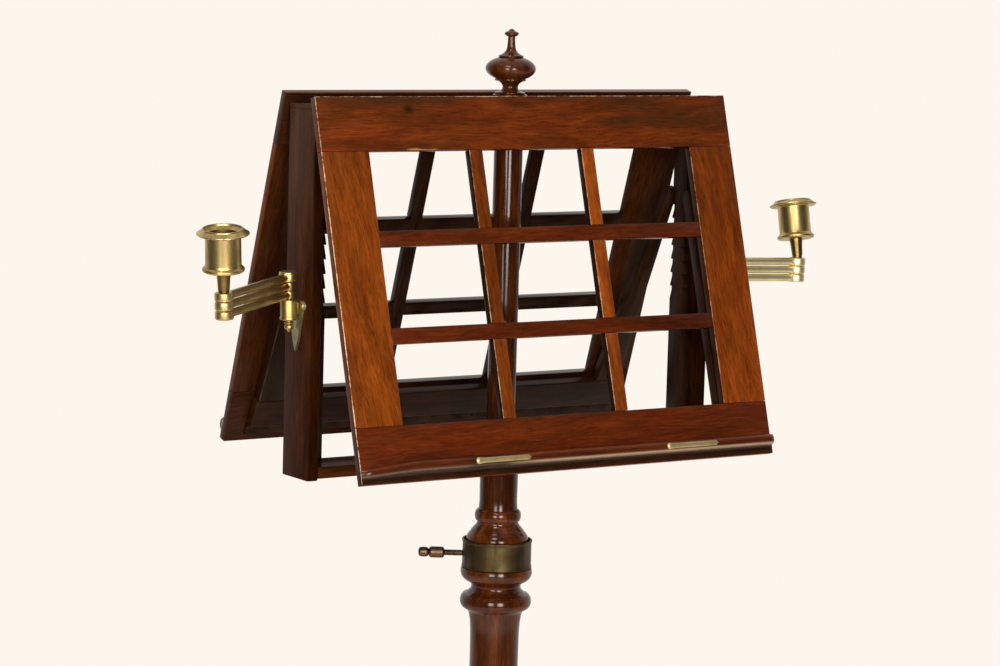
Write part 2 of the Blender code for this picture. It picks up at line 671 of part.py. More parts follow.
for face, sizes in DESKS.items():
    turned = 0 if face == "front" else math.pi
    facing = -1 if face == "front" else 1
    tilt = sizes["tilt"]
    bar = sizes["bar"]
    top_above_hinge = (HINGE_DROP + face_out * math.sin(tilt)) / math.cos(tilt)
    hinge_spread = DESK_TOP_SPREAD + face_out * math.cos(tilt) + top_above_hinge * math.sin(tilt)
    hinge_height = DESK_TOP + sizes["rise"] - HINGE_DROP
    desk_bottom = top_above_hinge - DESK_LENGTH
    rail_low = top_above_hinge - TOP_RAIL
    bottom_rail_top = desk_bottom + BOTTOM_RAIL
    bar_heights = [top_above_hinge - drop for drop in sizes["crossbar_drops"]]
    desk = pivot(f"{face}_desk_axis", None, (0, facing * hinge_spread, hinge_height), (-tilt, 0, turned))

    rail = rounded((face_out, rail_low), (face_in, top_above_hinge), ARRIS)
    node(f"{face}_top_rail", extrusion(rail, "x", -half_width, half_width), RAIL_WOOD, desk)
    rail = rounded((face_out, desk_bottom), (face_in, bottom_rail_top), ARRIS)
    node(f"{face}_bottom_rail", extrusion(rail, "x", -half_width, half_width), RAIL_WOOD, desk)
    for side, sign in (("left", -1), ("right", 1)):
        edges = sorted((sign * (half_width - STILE), sign * half_width))
        stile = rounded((edges[0], face_out), (edges[1], face_in), ARRIS)
        shape = extrusion(stile, "z", bottom_rail_top + GAP, rail_low - GAP)
        node(f"{face}_stile_{side}", shape, STILE_WOOD, desk)
    upright_ends = (bottom_rail_top + GAP, rail_low - GAP)
    for side, place in zip(("left", "right"), sizes["uprights"]):
        profile = notched(*upright_ends, bar_heights, bar, face_out, middle + LAP_GAP / 2, face_in)
        outline = [(depth, height) for height, depth in profile]
        shape = extrusion(outline, "x", place - bar / 2, place + bar / 2)
        node(f"{face}_upright_{side}", shape, STILE_WOOD, desk)
    for level, height in zip(("upper", "lower"), bar_heights):
        crossings = sizes["uprights"]
        outline = notched(-opening_half, opening_half, crossings, bar, face_in, middle - LAP_GAP / 2, face_out)
        shape = extrusion(outline, "z", height - bar / 2, height + bar / 2)
        node(f"{face}_crossbar_{level}", shape, RAIL_WOOD, desk)

    node(f"{face}_ledge", ledge_shape(desk_bottom), RAIL_WOOD, desk, smooth=True)
    clip_depth = face_out - LEDGE_BEAD_OUT - LEDGE_BEAD_RADIUS - 2 * GAP
    clip_height = desk_bottom + LEDGE_BEAD_UP
    for side, place in zip(("left", "right"), sizes["clips"]):
        node(f"{face}_clip_{side}", clip_shape(), BRASS, desk, (place, clip_depth, clip_height))

    lean = strut_lean(hinge_spread + STRUT_DROP * math.sin(tilt))
    strut = pivot(f"{face}_strut_axis", desk, (0, 0, -STRUT_DROP), (tilt - lean, 0, 0))
    outline = rounded((strut_out, strut_rail_bottom), (strut_in, strut_rail_top), ARRIS)
    node(f"{face}_strut_rail", extrusion(outline, "x", -STRUT_RAIL_HALF, STRUT_RAIL_HALF), INNER_WOOD, strut)
    for side, sign in (("left", -1), ("right", 1)):
        node(f"{face}_strut_arm_{side}", strut_arm(sign, lean), INNER_WOOD, strut)

    # One long hinge holds the strut: its leaf lies on the desk's back, below the barrel.
    leaf_low = (-STRUT_RAIL_HALF, face_in + GAP, -STRUT_LEAF_HEIGHT)
    leaf = box(leaf_low, (STRUT_RAIL_HALF, face_in + GAP + LEAF_THICKNESS, 0))
    node(f"{face}_strut_hinge", union(barrel(STRUT_RAIL_HALF), leaf), DARK_IRON, desk, (0, 0, -STRUT_DROP))

    # Two hinges hold the desk: each leaf lies on the frame's top rail.
    leaf_back = hinge_spread - TOP_RAIL_HALF_DEPTH - GAP
    for side, place in (("left", -HINGE_SPREAD), ("right", HINGE_SPREAD)):
        leaf_low = (-HINGE_LENGTH / 2, leaf_back - LEAF_THICKNESS, -LEAF_HEIGHT)
        leaf = box(leaf_low, (HINGE_LENGTH / 2, leaf_back, 0))
        hinge_place = (-facing * place, facing * hinge_spread, hinge_height)
        shape = union(barrel(HINGE_LENGTH / 2), leaf)
        node(f"{face}_hinge_{side}", shape, DARK_IRON, None, hinge_place, (0, 0, turned))


# Candle arms. In an arm's own frame x runs out along the folded arms and z up the leaning pivot.
def strap(inner_radius, outer_radius, direction):
    """A bar between two knuckles, from the origin along x in the given direction."""
    bar_low = (KNUCKLE_HEIGHT - ARM_HEIGHT) / 2
    ends = sorted((direction * 0.002, direction * (ARM_LENGTH - 0.002)))
    bar_outline = rounded((-ARM_WIDTH / 2, bar_low), (ARM_WIDTH / 2, bar_low + ARM_HEIGHT), ARRIS, 1)
    bar = extrusion(bar_outline, "x", ends[0], ends[1])
    near = cylinder(inner_radius, 0, KNUCKLE_HEIGHT)
    far = shifted(cylinder(outer_radius, 0, KNUCKLE_HEIGHT), direction * ARM_LENGTH, 0, 0)
    return near, bar, far


def bore_for(pin_radius):
    return cylinder(pin_radius + RUNNING_GAP, -0.004, ARM_PIN_LENGTH + GAP)


def cup_shape(lean_along, lean_across):
    """A candle cup on a bent stem."""
    base = CUP_STEM
    top = CUP_STEM + CUP_HEIGHT
    profile = [
        (0, 0),
        (STEM_LOWER_RADIUS, 0),
        (STEM_UPPER_RADIUS, base - 0.0006),
        (CUP_BEAD - 0.0030, base),
        (CUP_BEAD, base + 0.0016),
        (CUP_BEAD, base + 0.0034),
        (CUP_BARREL, base + 0.0052),
        (CUP_BARREL, top - CUP_RIM_FALL - 0.0008),
        (CUP_RIM - 0.0004, top - CUP_RIM_FALL - 0.0008),
        (CUP_RIM, top - CUP_RIM_FALL),
        (CUP_MOUTH + 0.0010, top - 0.0006),
        (CUP_MOUTH, top),
        (CUP_BORE + 0.0016, top - 0.0040),
        (CUP_BORE, top - 0.0090),
        (CUP_BORE, base + 0.0075),
        (0, base + 0.0075),
    ]
    bend = Euler((lean_across, lean_along, 0)).to_matrix().to_4x4()
    cup = moved(lathe(profile, TURNED_SIDES), Matrix.Translation((0, 0, STUB_HEIGHT / 2)) @ bend)
    return union(cup, cylinder(STUB_RADIUS, 0, STUB_HEIGHT))


def plate_outline():
    """Shield plate: a screw lobe on each side and a pointed tail, as (y, height) points."""
    lobe = (LOBE_SPREAD, DESK_TOP - LOBE_DROP)
    half = [(0.0040, DESK_TOP - PLATE_TOP_DROP), (0.0085, DESK_TOP - PLATE_TOP_DROP - 0.0015)]
    half += arc(lobe, LOBE_RADIUS, 90, -110, 6)
    half += [(0.0106, DESK_TOP - 0.2050), (0.0092, DESK_TOP - 0.2110), (0.0041, DESK_TOP - 0.2300)]
    tail = [(0.0, DESK_TOP - PLATE_TIP_DROP)]
    return half + tail + [(-y, height) for y, height in reversed(half)]


def bracket_shape(sign, lean):
    """The plate on a post with its leaning socket and pendant knob."""
    edges = sorted((sign * (POST_OUTER + GAP), sign * (POST_OUTER + GAP + PLATE_THICKNESS)))
    plate = extrusion(plate_outline(), "x", edges[0], edges[1])
    bore = SOCKET_PIN + RUNNING_GAP
    bore_bottom_level = -SOCKET_PIN_LENGTH - 0.0012
    socket_top = -GAP - 0.0001
    profile = [
        (0, -0.0310),
        (0.0032, -0.0304),
        (0.0052, -0.0272),
        (0.0048, -0.0235),
        (0.0034, -0.0208),
        (BOSS_RADIUS + 0.0008, -0.0192),
        (BOSS_RADIUS + 0.0008, -0.0168),
        (BOSS_RADIUS, -0.0156),
        (BOSS_RADIUS, socket_top),
        (bore, socket_top),
        (bore, bore_bottom_level),
        (0, bore_bottom_level),
    ]
    socket = moved(lathe(profile, SMALL_SIDES), Matrix.Translation(socket_place(sign)) @ lean)
    reach = sorted((sign * (POST_OUTER + 0.001), sign * (SOCKET_OUT - SOCKET_PIN - 0.002)))
    low = DESK_TOP - SOCKET_DROP - 0.0150
    neck = box((reach[0], -0.0045, low), (reach[1], 0.0045, low + 0.012))
    return union(plate, neck, socket)


def socket_place(sign):
    return (sign * SOCKET_OUT, 0, DESK_TOP - SOCKET_DROP)


for side, (sign, azimuth, droop, lean_along, lean_across) in SCONCES.items():
    turn = (0, droop, azimuth)
    tipped = Euler(turn).to_matrix().to_4x4()
    node(f"{side}_bracket", bracket_shape(sign, tipped), BRASS, smooth=True)
    socket = pivot(f"{side}_socket_axis", None, socket_place(sign), turn)

    near, bar, far = strap(INNER_KNUCKLE, OUTER_KNUCKLE, 1)
    pin = cylinder(SOCKET_PIN, -SOCKET_PIN_LENGTH, KNUCKLE_HEIGHT / 2)
    end_pin = shifted(cylinder(ARM_PIN, KNUCKLE_HEIGHT / 2, KNUCKLE_HEIGHT + ARM_PIN_LENGTH), ARM_LENGTH, 0, 0)
    node(f"{side}_arm_1", union(near, bar, far, pin, end_pin), BRASS, socket, smooth=True)

    near, bar, far = strap(OUTER_KNUCKLE, INNER_KNUCKLE, -1)
    end_pin = shifted(cylinder(ARM_PIN, KNUCKLE_HEIGHT / 2, KNUCKLE_HEIGHT + ARM_PIN_LENGTH), -ARM_LENGTH, 0, 0)
    arm = cut(union(near, bar, far, end_pin), bore_for(ARM_PIN))
    node(f"{side}_arm_2", arm, BRASS, socket, (ARM_LENGTH, 0, ARM_PITCH), smooth=True)

    near, bar, far = strap(INNER_KNUCKLE, OUTER_KNUCKLE, 1)
    cap_profile = [
        (0, KNUCKLE_HEIGHT - 0.001),
        (CAP_RADIUS, KNUCKLE_HEIGHT - 0.001),
        (CAP_RADIUS, KNUCKLE_HEIGHT + 0.001),
        (CAP_RADIUS * 0.6, KNUCKLE_HEIGHT + CAP_HEIGHT * 0.85),
        (0, KNUCKLE_HEIGHT + CAP_HEIGHT),
    ]
    arm = cut(union(near, bar, far, lathe(cap_profile, SMALL_SIDES)), bore_for(ARM_PIN))
    node(f"{side}_arm_3", arm, BRASS, socket, (0, 0, 2 * ARM_PITCH), smooth=True)

    cup_place = (ARM_LENGTH, 0, 2 * ARM_PITCH + KNUCKLE_HEIGHT + GAP)
    node(f"{side}_cup", cup_shape(lean_along, lean_across), BRASS, socket, cup_place, smooth=True)
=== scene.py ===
"""Looks of the duet music stand: polished boards with grain, turned wood, aged brass and dark iron.

Every piece is made in place, in metres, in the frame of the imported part.
"""

import itertools
import json
import math

import bmesh
import bpy
from mathutils import Euler, Matrix, Vector

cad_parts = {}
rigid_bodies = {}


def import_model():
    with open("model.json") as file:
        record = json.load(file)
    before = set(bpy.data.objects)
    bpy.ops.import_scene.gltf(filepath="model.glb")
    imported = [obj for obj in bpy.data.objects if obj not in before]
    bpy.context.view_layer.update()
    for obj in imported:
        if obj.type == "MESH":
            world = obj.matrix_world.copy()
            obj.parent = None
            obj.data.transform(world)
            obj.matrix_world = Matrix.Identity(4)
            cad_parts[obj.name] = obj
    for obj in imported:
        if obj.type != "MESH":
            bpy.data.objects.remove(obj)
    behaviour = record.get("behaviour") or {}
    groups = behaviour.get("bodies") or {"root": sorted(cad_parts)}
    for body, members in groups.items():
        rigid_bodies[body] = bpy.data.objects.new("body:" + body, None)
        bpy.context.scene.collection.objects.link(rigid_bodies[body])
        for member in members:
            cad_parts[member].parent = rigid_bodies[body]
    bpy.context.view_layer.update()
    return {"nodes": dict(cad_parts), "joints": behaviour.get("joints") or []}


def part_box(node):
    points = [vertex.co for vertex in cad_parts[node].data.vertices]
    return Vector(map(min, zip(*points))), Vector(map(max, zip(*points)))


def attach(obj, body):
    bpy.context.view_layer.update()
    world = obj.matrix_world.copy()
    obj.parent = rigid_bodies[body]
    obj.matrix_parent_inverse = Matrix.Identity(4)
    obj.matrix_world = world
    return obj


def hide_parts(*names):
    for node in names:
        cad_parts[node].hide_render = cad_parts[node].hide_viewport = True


for old in list(bpy.data.objects):
    bpy.data.objects.remove(old, do_unlink=True)

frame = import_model()
solids = frame["nodes"]
joints = {joint["name"]: joint for joint in frame["joints"]}

# Sizes repeated from the part
DESK_TOP = 1.140
DESK_WIDTH = 0.470
POST_OUTER = 0.2302
LEDGE_END = 0.010
HINGE_LEAF = 0.0016
STRUT_LEAN = {"front": math.radians(22.658), "rear": math.radians(24.362)}
ARM_LENGTH = 0.115
ARM_PITCH = 0.0084
KNUCKLE = 0.008
CUP_LEAN = {"left": (4.1, -2.9), "right": (-0.8, -13.6)}  # degrees, along the arm and across it
LEG_REACH = 0.280
LEG_WIDTH = 0.022
LEG_INNER = 0.024
LEG_FOOT = 0.044

SIDES = ("left", "right")
X, Y, Z = range(3)
UP = Vector((0, 0, 1))
FAR = 9.0  # further off than any edge or mark


def clamped(value):
    return min(max(value, 0.0), 1.0)


# Nodes and finishes


def feed(tree, socket, value):
    """Gives a socket its value, or links another node's socket to it."""
    if isinstance(value, bpy.types.NodeSocket):
        tree.links.new(value, socket)
    else:
        socket.default_value = value


def add_node(tree, kind, inputs, **settings):
    """Adds a node to a tree and hands back its outputs."""
    made = tree.nodes.new(kind)
    for key, value in settings.items():
        setattr(made, key, value)
    for key, value in inputs.items():
        feed(tree, made.inputs[key], value)
    return made.outputs


def screen(red, green, blue):
    """A colour as seen on a screen, as the shader's linear values."""
    return tuple((v / 255.0) ** 2.2 for v in (red, green, blue)) + (1.0,)


class Finish:
    """A material that is built node by node."""

    def __init__(self, name):
        self.material = bpy.data.materials.new(name)
        self.material.use_nodes = True
        self.tree = self.material.node_tree

    def add(self, kind, inputs, **settings):
        return add_node(self.tree, kind, inputs, **settings)

    def math(self, operation, a, b=0.0):
        return self.add("ShaderNodeMath", {0: a, 1: b}, operation=operation)[0]

    def times(self, a, b):
        return self.math("MULTIPLY", a, b)

    def plus(self, a, b):
        return self.math("ADD", a, b)

    def minus(self, a, b):
        return self.math("SUBTRACT", a, b)

    def larger(self, a, b):
        return self.math("MAXIMUM", a, b)

    def vector(self, operation, a, b):
        return self.add("ShaderNodeVectorMath", {0: a, 1: b}, operation=operation)[0]

    def attribute(self, name):
        return self.add("ShaderNodeAttribute", {}, attribute_name=name)["Vector"]

    def parts(self, vector):
        return self.add("ShaderNodeSeparateXYZ", {0: vector})

    def whole(self, x, y, z):
        return self.add("ShaderNodeCombineXYZ", {0: x, 1: y, 2: z})[0]

    def noise(self, vector, scale, detail, roughness=0.55):
        """Cloudy noise. A scale of three numbers draws it out."""
        if isinstance(scale, tuple):
            vector = self.vector("MULTIPLY", vector, scale)
            scale = 1.0
        inputs = {"Vector": vector, "Scale": scale, "Detail": detail, "Roughness": roughness}
        return self.add("ShaderNodeTexNoise", inputs)[0]

    def stretch(self, value, low, high, start=0.0, end=1.0):
        return self.add("ShaderNodeMapRange", {0: value, 1: low, 2: high, 3: start, 4: end})[0]

    def mix(self, factor, first, second, blend="MIX"):
        inputs = {0: factor, 6: first, 7: second}
        return self.add("ShaderNodeMix", inputs, data_type="RGBA", blend_type=blend)[2]

    def ramp(self, factor, stops):
        made = self.add("ShaderNodeValToRGB", {0: factor})[0]
        points = made.node.color_ramp.elements
        while len(points) < len(stops):
            points.new(0.5)
        for point, (place, colour) in zip(points, stops):
            point.position = place
            point.color = colour
        return made

    def done(self, sockets, height=None, strength=0.0, depth=0.0):
        """Feeds the shader's sockets and, where a height is given, its bumps."""
        if height is not None:
            bump = self.add("ShaderNodeBump", {"Height": height, "Strength": strength, "Distance": depth})
            sockets["Normal"] = bump[0]
        for name, value in sockets.items():
            feed(self.tree, self.tree.nodes["Principled BSDF"].inputs[name], value)
        return self.material


def wood(name, slot, light, middle, dark, roughness, gloss, slant=0.02, relief=0.10):
    """Polished wood and its slot. A board's own attributes give its grain, edges, tone and marks."""
    made = Finish(name)
    board = made.attribute("board")
    along, across, through = made.parts(board)
    half_along, half_across, half_through = made.parts(made.attribute("half"))
    tone, seed, bare = made.parts(made.attribute("tone"))
    # The third part of the wear attribute, pale, is no wear: it is a painted highlight or sheen from a paint
    # rule
    end_wear, side_wear, pale = made.parts(made.attribute("wear"))
    smoky, knot_along, knot_across = made.parts(made.attribute("mark"))
    shine, red, chip_along = made.parts(made.attribute("sheen"))
    shift = made.add("ShaderNodeVectorMath", {0: (3.1, 1.7, 2.3), 3: seed}, operation="SCALE")[0]
    place = made.vector("ADD", board, shift)
    sway = made.noise(place, (7.0, 22.0, 22.0), 2.0)
    swing = made.plus(made.times(made.minus(sway, 0.5), 0.016), made.times(along, slant))
    bent = made.vector("ADD", place, made.whole(0.0, swing, swing))

    figure = made.noise(bent, (13.0, 90.0, 90.0), 4.0, 0.6)
    streak = made.noise(bent, (34.0, 560.0, 560.0), 3.0, 0.62)
    flecks = made.noise(bent, (64.0, 1000.0, 1000.0), 3.0, 0.65)
    mottle = made.noise(place, (45.0, 75.0, 75.0), 4.0, 0.65)
    smoke = made.noise(bent, (10.0, 48.0, 48.0), 4.0, 0.6)

    colour = made.ramp(figure, [(0.30, screen(*dark)), (0.50, screen(*middle)), (0.70, screen(*light))])
    fine = made.times(made.stretch(streak, 0.3, 0.7, 0.70, 1.28), made.stretch(mottle, 0.3, 0.7, 0.90, 1.08))
    fine = made.times(fine, tone)
    green = made.times(fine, made.stretch(red, 0.0, 1.0, 1.0, 0.72))
    colour = made.mix(1.0, colour, made.whole(fine, green, green), "MULTIPLY")
    lean = made.times(made.math("DIVIDE", across, half_across), -0.10)
    smoke = made.stretch(made.plus(smoke, lean), 0.45, 0.68)
    colour = made.mix(made.times(smoke, smoky), colour, screen(52, 36, 18))
    colour = made.mix(made.stretch(flecks, 0.52, 0.68, 0.0, 0.5), colour, screen(32, 16, 8))

    # A dark knot, where the board has one
    away = made.whole(made.minus(along, knot_along), made.minus(across, knot_across), 0.0)
    away = made.vector("MULTIPLY", away, (0.55, 1.0, 1.0))
    away = made.add("ShaderNodeVectorMath", {0: away}, operation="LENGTH")["Value"]
    away = made.plus(away, made.times(made.minus(mottle, 0.5), 0.006))
    colour = made.mix(made.stretch(away, 0.0012, 0.0055, 0.9, 0.0), colour, screen(32, 20, 11))

    # Away from its face a desk's board is bare, dark wood; the same dark colour paints the shade in the
    # ledge's hollow and foot
    bare_wood_and_shade = made.mix(made.stretch(streak, 0.3, 0.7), screen(30, 19, 12), screen(48, 30, 19))
    colour = made.mix(bare, colour, bare_wood_and_shade)

    # Rubbed arrises: the front edge at the start of the grain and the one on its left, and with them the pale
    # of a paint rule: a painted highlight on the ledge, a painted sheen on the left post
    front = made.plus(half_through, through)
    at_end = made.larger(made.plus(half_along, along), front)
    at_side = made.larger(made.plus(half_across, across), front)
    rub = made.noise(place, (70.0, 150.0, 150.0), 4.0, 0.75)
    limit = made.stretch(rub, 0.40, 0.60, 0.0, 0.0008)
    rubbed_and_sheen = made.times(made.stretch(made.minus(limit, at_end), -0.0002, 0.0002), end_wear)
    side = made.times(made.stretch(made.minus(limit, at_side), -0.0002, 0.0002), side_wear)
    rubbed_and_sheen = made.larger(made.larger(rubbed_and_sheen, side), pale)
    colour = made.mix(rubbed_and_sheen, colour, screen(208, 178, 148))

    # A chip in the front edge on its right
    reach = made.math("ABSOLUTE", made.minus(along, chip_along))
    depth = made.larger(made.minus(half_across, across), front)
    depth = made.minus(made.stretch(rub, 0.35, 0.65, 0.0004, 0.0024), depth)
    chipped = made.times(made.stretch(reach, 0.012, 0.018, 1.0, 0.0), made.stretch(depth, -0.0003, 0.0003))
    colour = made.mix(made.times(chipped, 0.6), colour, screen(178, 128, 62))

    rough = made.stretch(streak, 0.3, 0.7, roughness - 0.03, roughness + 0.05)
    height = made.plus(made.times(streak, 0.5), made.times(flecks, -0.6))
    sockets = {"Base Color": colour, "Roughness": rough, "Specular IOR Level": made.times(shine, gloss)}
    return made.done(sockets, height, relief, 0.0003), slot


def metal(name, slot, bright, dull, stain, roughness, stained, streaks=0.0):
    """Aged metal and its slot: softly cloudy, with a few dark stains and, on a ring, upright streaks."""
    made = Finish(name)
    place = made.add("ShaderNodeTexCoord", {})["Object"]
    cloud = made.noise(place, 48.0, 3.0, 0.5)
    speck = made.noise(place, 190.0, 4.0, 0.6)
    colour = made.mix(made.stretch(cloud, 0.36, 0.66), screen(*bright), screen(*dull))
    spots = made.times(made.stretch(speck, 0.50, 0.80), made.stretch(cloud, 0.40, 0.70))
    spots = made.times(spots, stained)
    # Upright streaks: real patina on the collar; on the cups, painted dark reflections
    if streaks:
        streak = made.noise(place, (150.0, 150.0, 9.0), 3.0, 0.6)
        spots = made.larger(spots, made.times(made.stretch(streak, 0.40, 0.68), streaks))
    colour = made.mix(spots, colour, screen(*stain))
    rough = made.stretch(cloud, 0.3, 0.7, roughness - 0.03, roughness + 0.06)
    rough = made.plus(rough, made.times(spots, 0.15))
    return made.done({"Base Color": colour, "Roughness": rough, "Metallic": 1.0}, cloud, 0.03, 0.0004), slot


RAIL = wood("polished_rail_wood", "rail_wood", (96, 45, 18), (83, 38, 16), (68, 31, 14), 0.22, 0.25)
STILE = wood("polished_stile_wood", "stile_wood", (120, 60, 20), (102, 50, 17), (82, 40, 15), 0.22, 0.25, 0.1)
POST = wood("dark_post_wood", "rail_wood", (80, 42, 20), (64, 33, 15), (46, 23, 12), 0.28, 0.03)
INNER = wood("dull_inner_wood", "inner_wood", (54, 32, 20), (42, 26, 17), (30, 18, 12), 0.36, 0.10)
TURNED = wood("turned_wood", "turned_wood", (98, 50, 20), (72, 36, 15), (46, 23, 11), 0.14, 0.33, 0.02, 0.03)
BRASS = metal("aged_brass", "brass", (216, 190, 130), (186, 158, 100), (128, 102, 58), 0.36, 0.4)
# A paler, lit copy of the arm brass for the right arms: painted light, as light falls on them from the right
PAINTED_LIGHT_BRASS = metal("arm_brass_painted_light", "brass", (240, 228, 182), (220, 204, 152), (164, 142, 92), 0.42, 0.3)
AGED_BRASS = metal("aged_socket_brass", "brass", (176, 150, 96), (148, 122, 74), (104, 82, 46), 0.42, 0.5)
# The cups' upright streaks are painted reflections of the dark room
CUP_BRASS = metal("streaked_cup_brass", "brass", (220, 194, 134), (186, 158, 100), (112, 86, 44), 0.3, 0.5,
                  0.6)
STEM = metal("dark_stem_brass", "brass", (140, 116, 70), (108, 88, 50), (72, 58, 32), 0.34, 0.5)
CLIP = metal("pale_clip_brass", "brass", (210, 190, 140), (184, 162, 112), (128, 108, 68), 0.50, 0.5)
PLATE = metal("grey_brass_plate", "brass", (184, 174, 134), (146, 142, 112), (100, 96, 72), 0.40, 0.6)
DARK_BRASS = metal("dark_brass", "dark_brass", (98, 82, 56), (72, 60, 40), (50, 46, 34), 0.42, 0.5, 0.6)
IRON = metal("dark_iron", "dark_iron", (60, 46, 38), (42, 32, 26), (64, 34, 20), 0.48, 0.6)
COPPER = metal("brown_copper", "copper_brown", (112, 88, 70), (88, 68, 54), (58, 46, 36), 0.36, 0.6)


# Shapes


def turned_to(origin, along, up):
    """A place whose x runs along and whose z is as near as it can be to up."""
    x = Vector(along).normalized()
    z = Vector(up)
    z = (z - x * z.dot(x)).normalized()
    made = Matrix((x, z.cross(x), z)).transposed().to_4x4()
    made.translation = Vector(origin)
    return made


def axis(place, number):
    return place.to_3x3().col[number]


def loft(rings):
    """A solid through rings of points, with a face at each end."""
    shape = bmesh.new()
    rows = [[shape.verts.new(p) for p in ring] for ring in rings]
    for low, high in zip(rows, rows[1:]):
        for i in range(len(low)):
            j = (i + 1) % len(low)
            shape.faces.new((low[i], low[j], high[j], high[i]))
    shape.faces.new(rows[0])
    shape.faces.new(rows[-1])
    return shape


def arc(centre, radius, start, end, steps):
    """Points of an arc, angles in degrees. A radius of two numbers flattens it."""
    wide, tall = radius if isinstance(radius, tuple) else (radius, radius)
    angles = [math.radians(start + (end - start) * i / steps) for i in range(steps + 1)]
    return [(centre[0] + wide * math.cos(a), centre[1] + tall * math.sin(a)) for a in angles]


def rounded(half_x, half_y, radius, steps):
    """A rectangle about the origin with its corners rounded."""
    outline = []
    for x, y, start in ((-1, -1, 180), (1, -1, 270), (1, 1, 0), (-1, 1, 90)):
        outline += arc((x * (half_x - radius), y * (half_y - radius)), radius, start, start + 90, steps)
    return outline


def flowing(points, steps=6):
    """A smooth line through the points."""
    line = []
    for i in range(len(points) - 1):
        a = Vector(points[max(i - 1, 0)])
        b = Vector(points[i])
        c = Vector(points[i + 1])
        d = Vector(points[min(i + 2, len(points) - 1)])
        for k in range(steps):
            t = k / steps
            bend = (2 * a - 5 * b + 4 * c - d) * t * t + (3 * b - a - 3 * c + d) * t**3
            line.append(tuple(b + 0.5 * ((c - a) * t + bend)))
    return line + [tuple(points[-1])]


def lathe(outline, sides, ring=False):
    """Turns an outline of (radius, height) points about z. A bare point ends a straight line. A list of
    points is a curve on from the point before it, which it repeats, so that a corner stays there."""
    profile = []
    for step in outline:
        profile += flowing(profile[-1:] + step) if isinstance(step, list) else [step]
    shape = bmesh.new()
    angles = [2 * math.pi * i / sides for i in range(sides)]
    rows = []
    for radius, height in profile:
        turn = [(radius * math.cos(a), radius * math.sin(a), height) for a in angles]
        rows.append([shape.verts.new(p) for p in (turn if radius > 1e-6 else [(0, 0, height)])])
    for low, high in zip(rows, rows[1:] + rows[:1] if ring else rows[1:]):
        for i in range(sides):
            j = (i + 1) % sides
            corners = [low[i % len(low)], low[j % len(low)], high[j % len(high)], high[i % len(high)]]
            corners = list(dict.fromkeys(corners))
            if len(corners) > 2:
                shape.faces.new(corners)
    return shape


def raised(outline, height):
    """An outline for the lathe, lifted."""
    return [raised(s, height) if isinstance(s, list) else (s[0], height + s[1]) for s in outline]


def moved(shape, matrix):
    bmesh.ops.transform(shape, matrix=matrix, verts=shape.verts)
    return shape


def as_mesh(name, shape):
    """The finished mesh of a closed shape, which is used up."""
    bmesh.ops.recalc_face_normals(shape, faces=shape.faces)
    mesh = bpy.data.meshes.new(name)
    shape.to_mesh(mesh)
    shape.free()
    return mesh


def joined(*shapes):
    """One shape of several closed ones."""
    whole = bmesh.new()
    for shape in shapes:
        mesh = as_mesh("shape", shape)
        whole.from_mesh(mesh)
        bpy.data.meshes.remove(mesh)
    return whole


def set_down(name, content):
    """Puts a new object of a mesh, light or camera in the scene."""
    made = bpy.data.objects.new(name, content)
    bpy.context.scene.collection.objects.link(made)
    return made


def softened(shape, edges, width, segments=2):
    """Rounds some of a shape's edges."""
    settings = {"offset": width, "segments": segments, "profile": 0.5, "affect": "EDGES"}
    bmesh.ops.bevel(shape, geom=edges, clamp_overlap=True, **settings)
    return shape


def cut_out(outline, places, number, width, segments):
    """A plate of one outline between two places along an axis, with its rims rounded."""
    shape = loft([[p[:number] + (place,) + p[number:] for p in outline] for place in places])
    rims = [e for e in shape.edges if abs(e.verts[0].co[number] - e.verts[1].co[number]) < 1e-6]
    return softened(shape, rims, width, segments)


def solid_copy(name, width):
    """A copy of a solid of the part, merged, with its sharp edges rounded."""
    shape = bmesh.new()
    shape.from_mesh(solids[name].data)
    bmesh.ops.remove_doubles(shape, verts=shape.verts, dist=1e-5)
    bmesh.ops.dissolve_limit(shape, angle_limit=math.radians(1), verts=shape.verts, edges=shape.edges)
    sharp = math.radians(40)
    edges = [e for e in shape.edges if len(e.link_faces) == 2 and e.calc_face_angle() > sharp]
    return softened(shape, edges, width)


def board(half, radius):
    """A board about the origin: x along the grain, y across it, z through it, all its edges rounded."""
    rings = []
    for end, angle in [(-1, a) for a in (90, 60, 30, 0)] + [(1, a) for a in (0, 30, 60, 90)]:
        inset = radius * (1 - math.cos(math.radians(angle)))
        reach = end * (half[0] - radius * (1 - math.sin(math.radians(angle))))
        outline = rounded(half[1] - inset, half[2] - inset, max(radius - inset, radius * 0.15), 3)
        rings.append([(reach, y, z) for y, z in outline])
    return loft(rings)


def plate(low, high, radius=0.0003):
    """A thin plate with softened edges, from corner to corner."""
    low = Vector(low)
    high = Vector(high)
    return moved(board((high - low) / 2, radius), Matrix.Translation((low + high) / 2))


def extents(name, place):
    """Lowest and highest corner of a solid, seen from a place."""
    back = place.inverted()
    points = [back @ v.co for v in solids[name].data.vertices]
    low = Vector([min(p[k] for p in points) for k in range(3)])
    high = Vector([max(p[k] for p in points) for k in range(3)])
    return low, high


# Pieces

seeds = itertools.count(1)


def piece(name, shape, finish, body, replaced, sharp=38):
    """Makes the finished object, on its body, in place of the part's plain solids."""
    material, slot = finish
    mesh = as_mesh(name, shape)
    mesh.materials.append(material)
    mesh.shade_smooth()
    mesh.set_sharp_from_angle(angle=math.radians(sharp))
    made = set_down(name, mesh)
    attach(made, body)
    if replaced:
        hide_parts(*replaced)


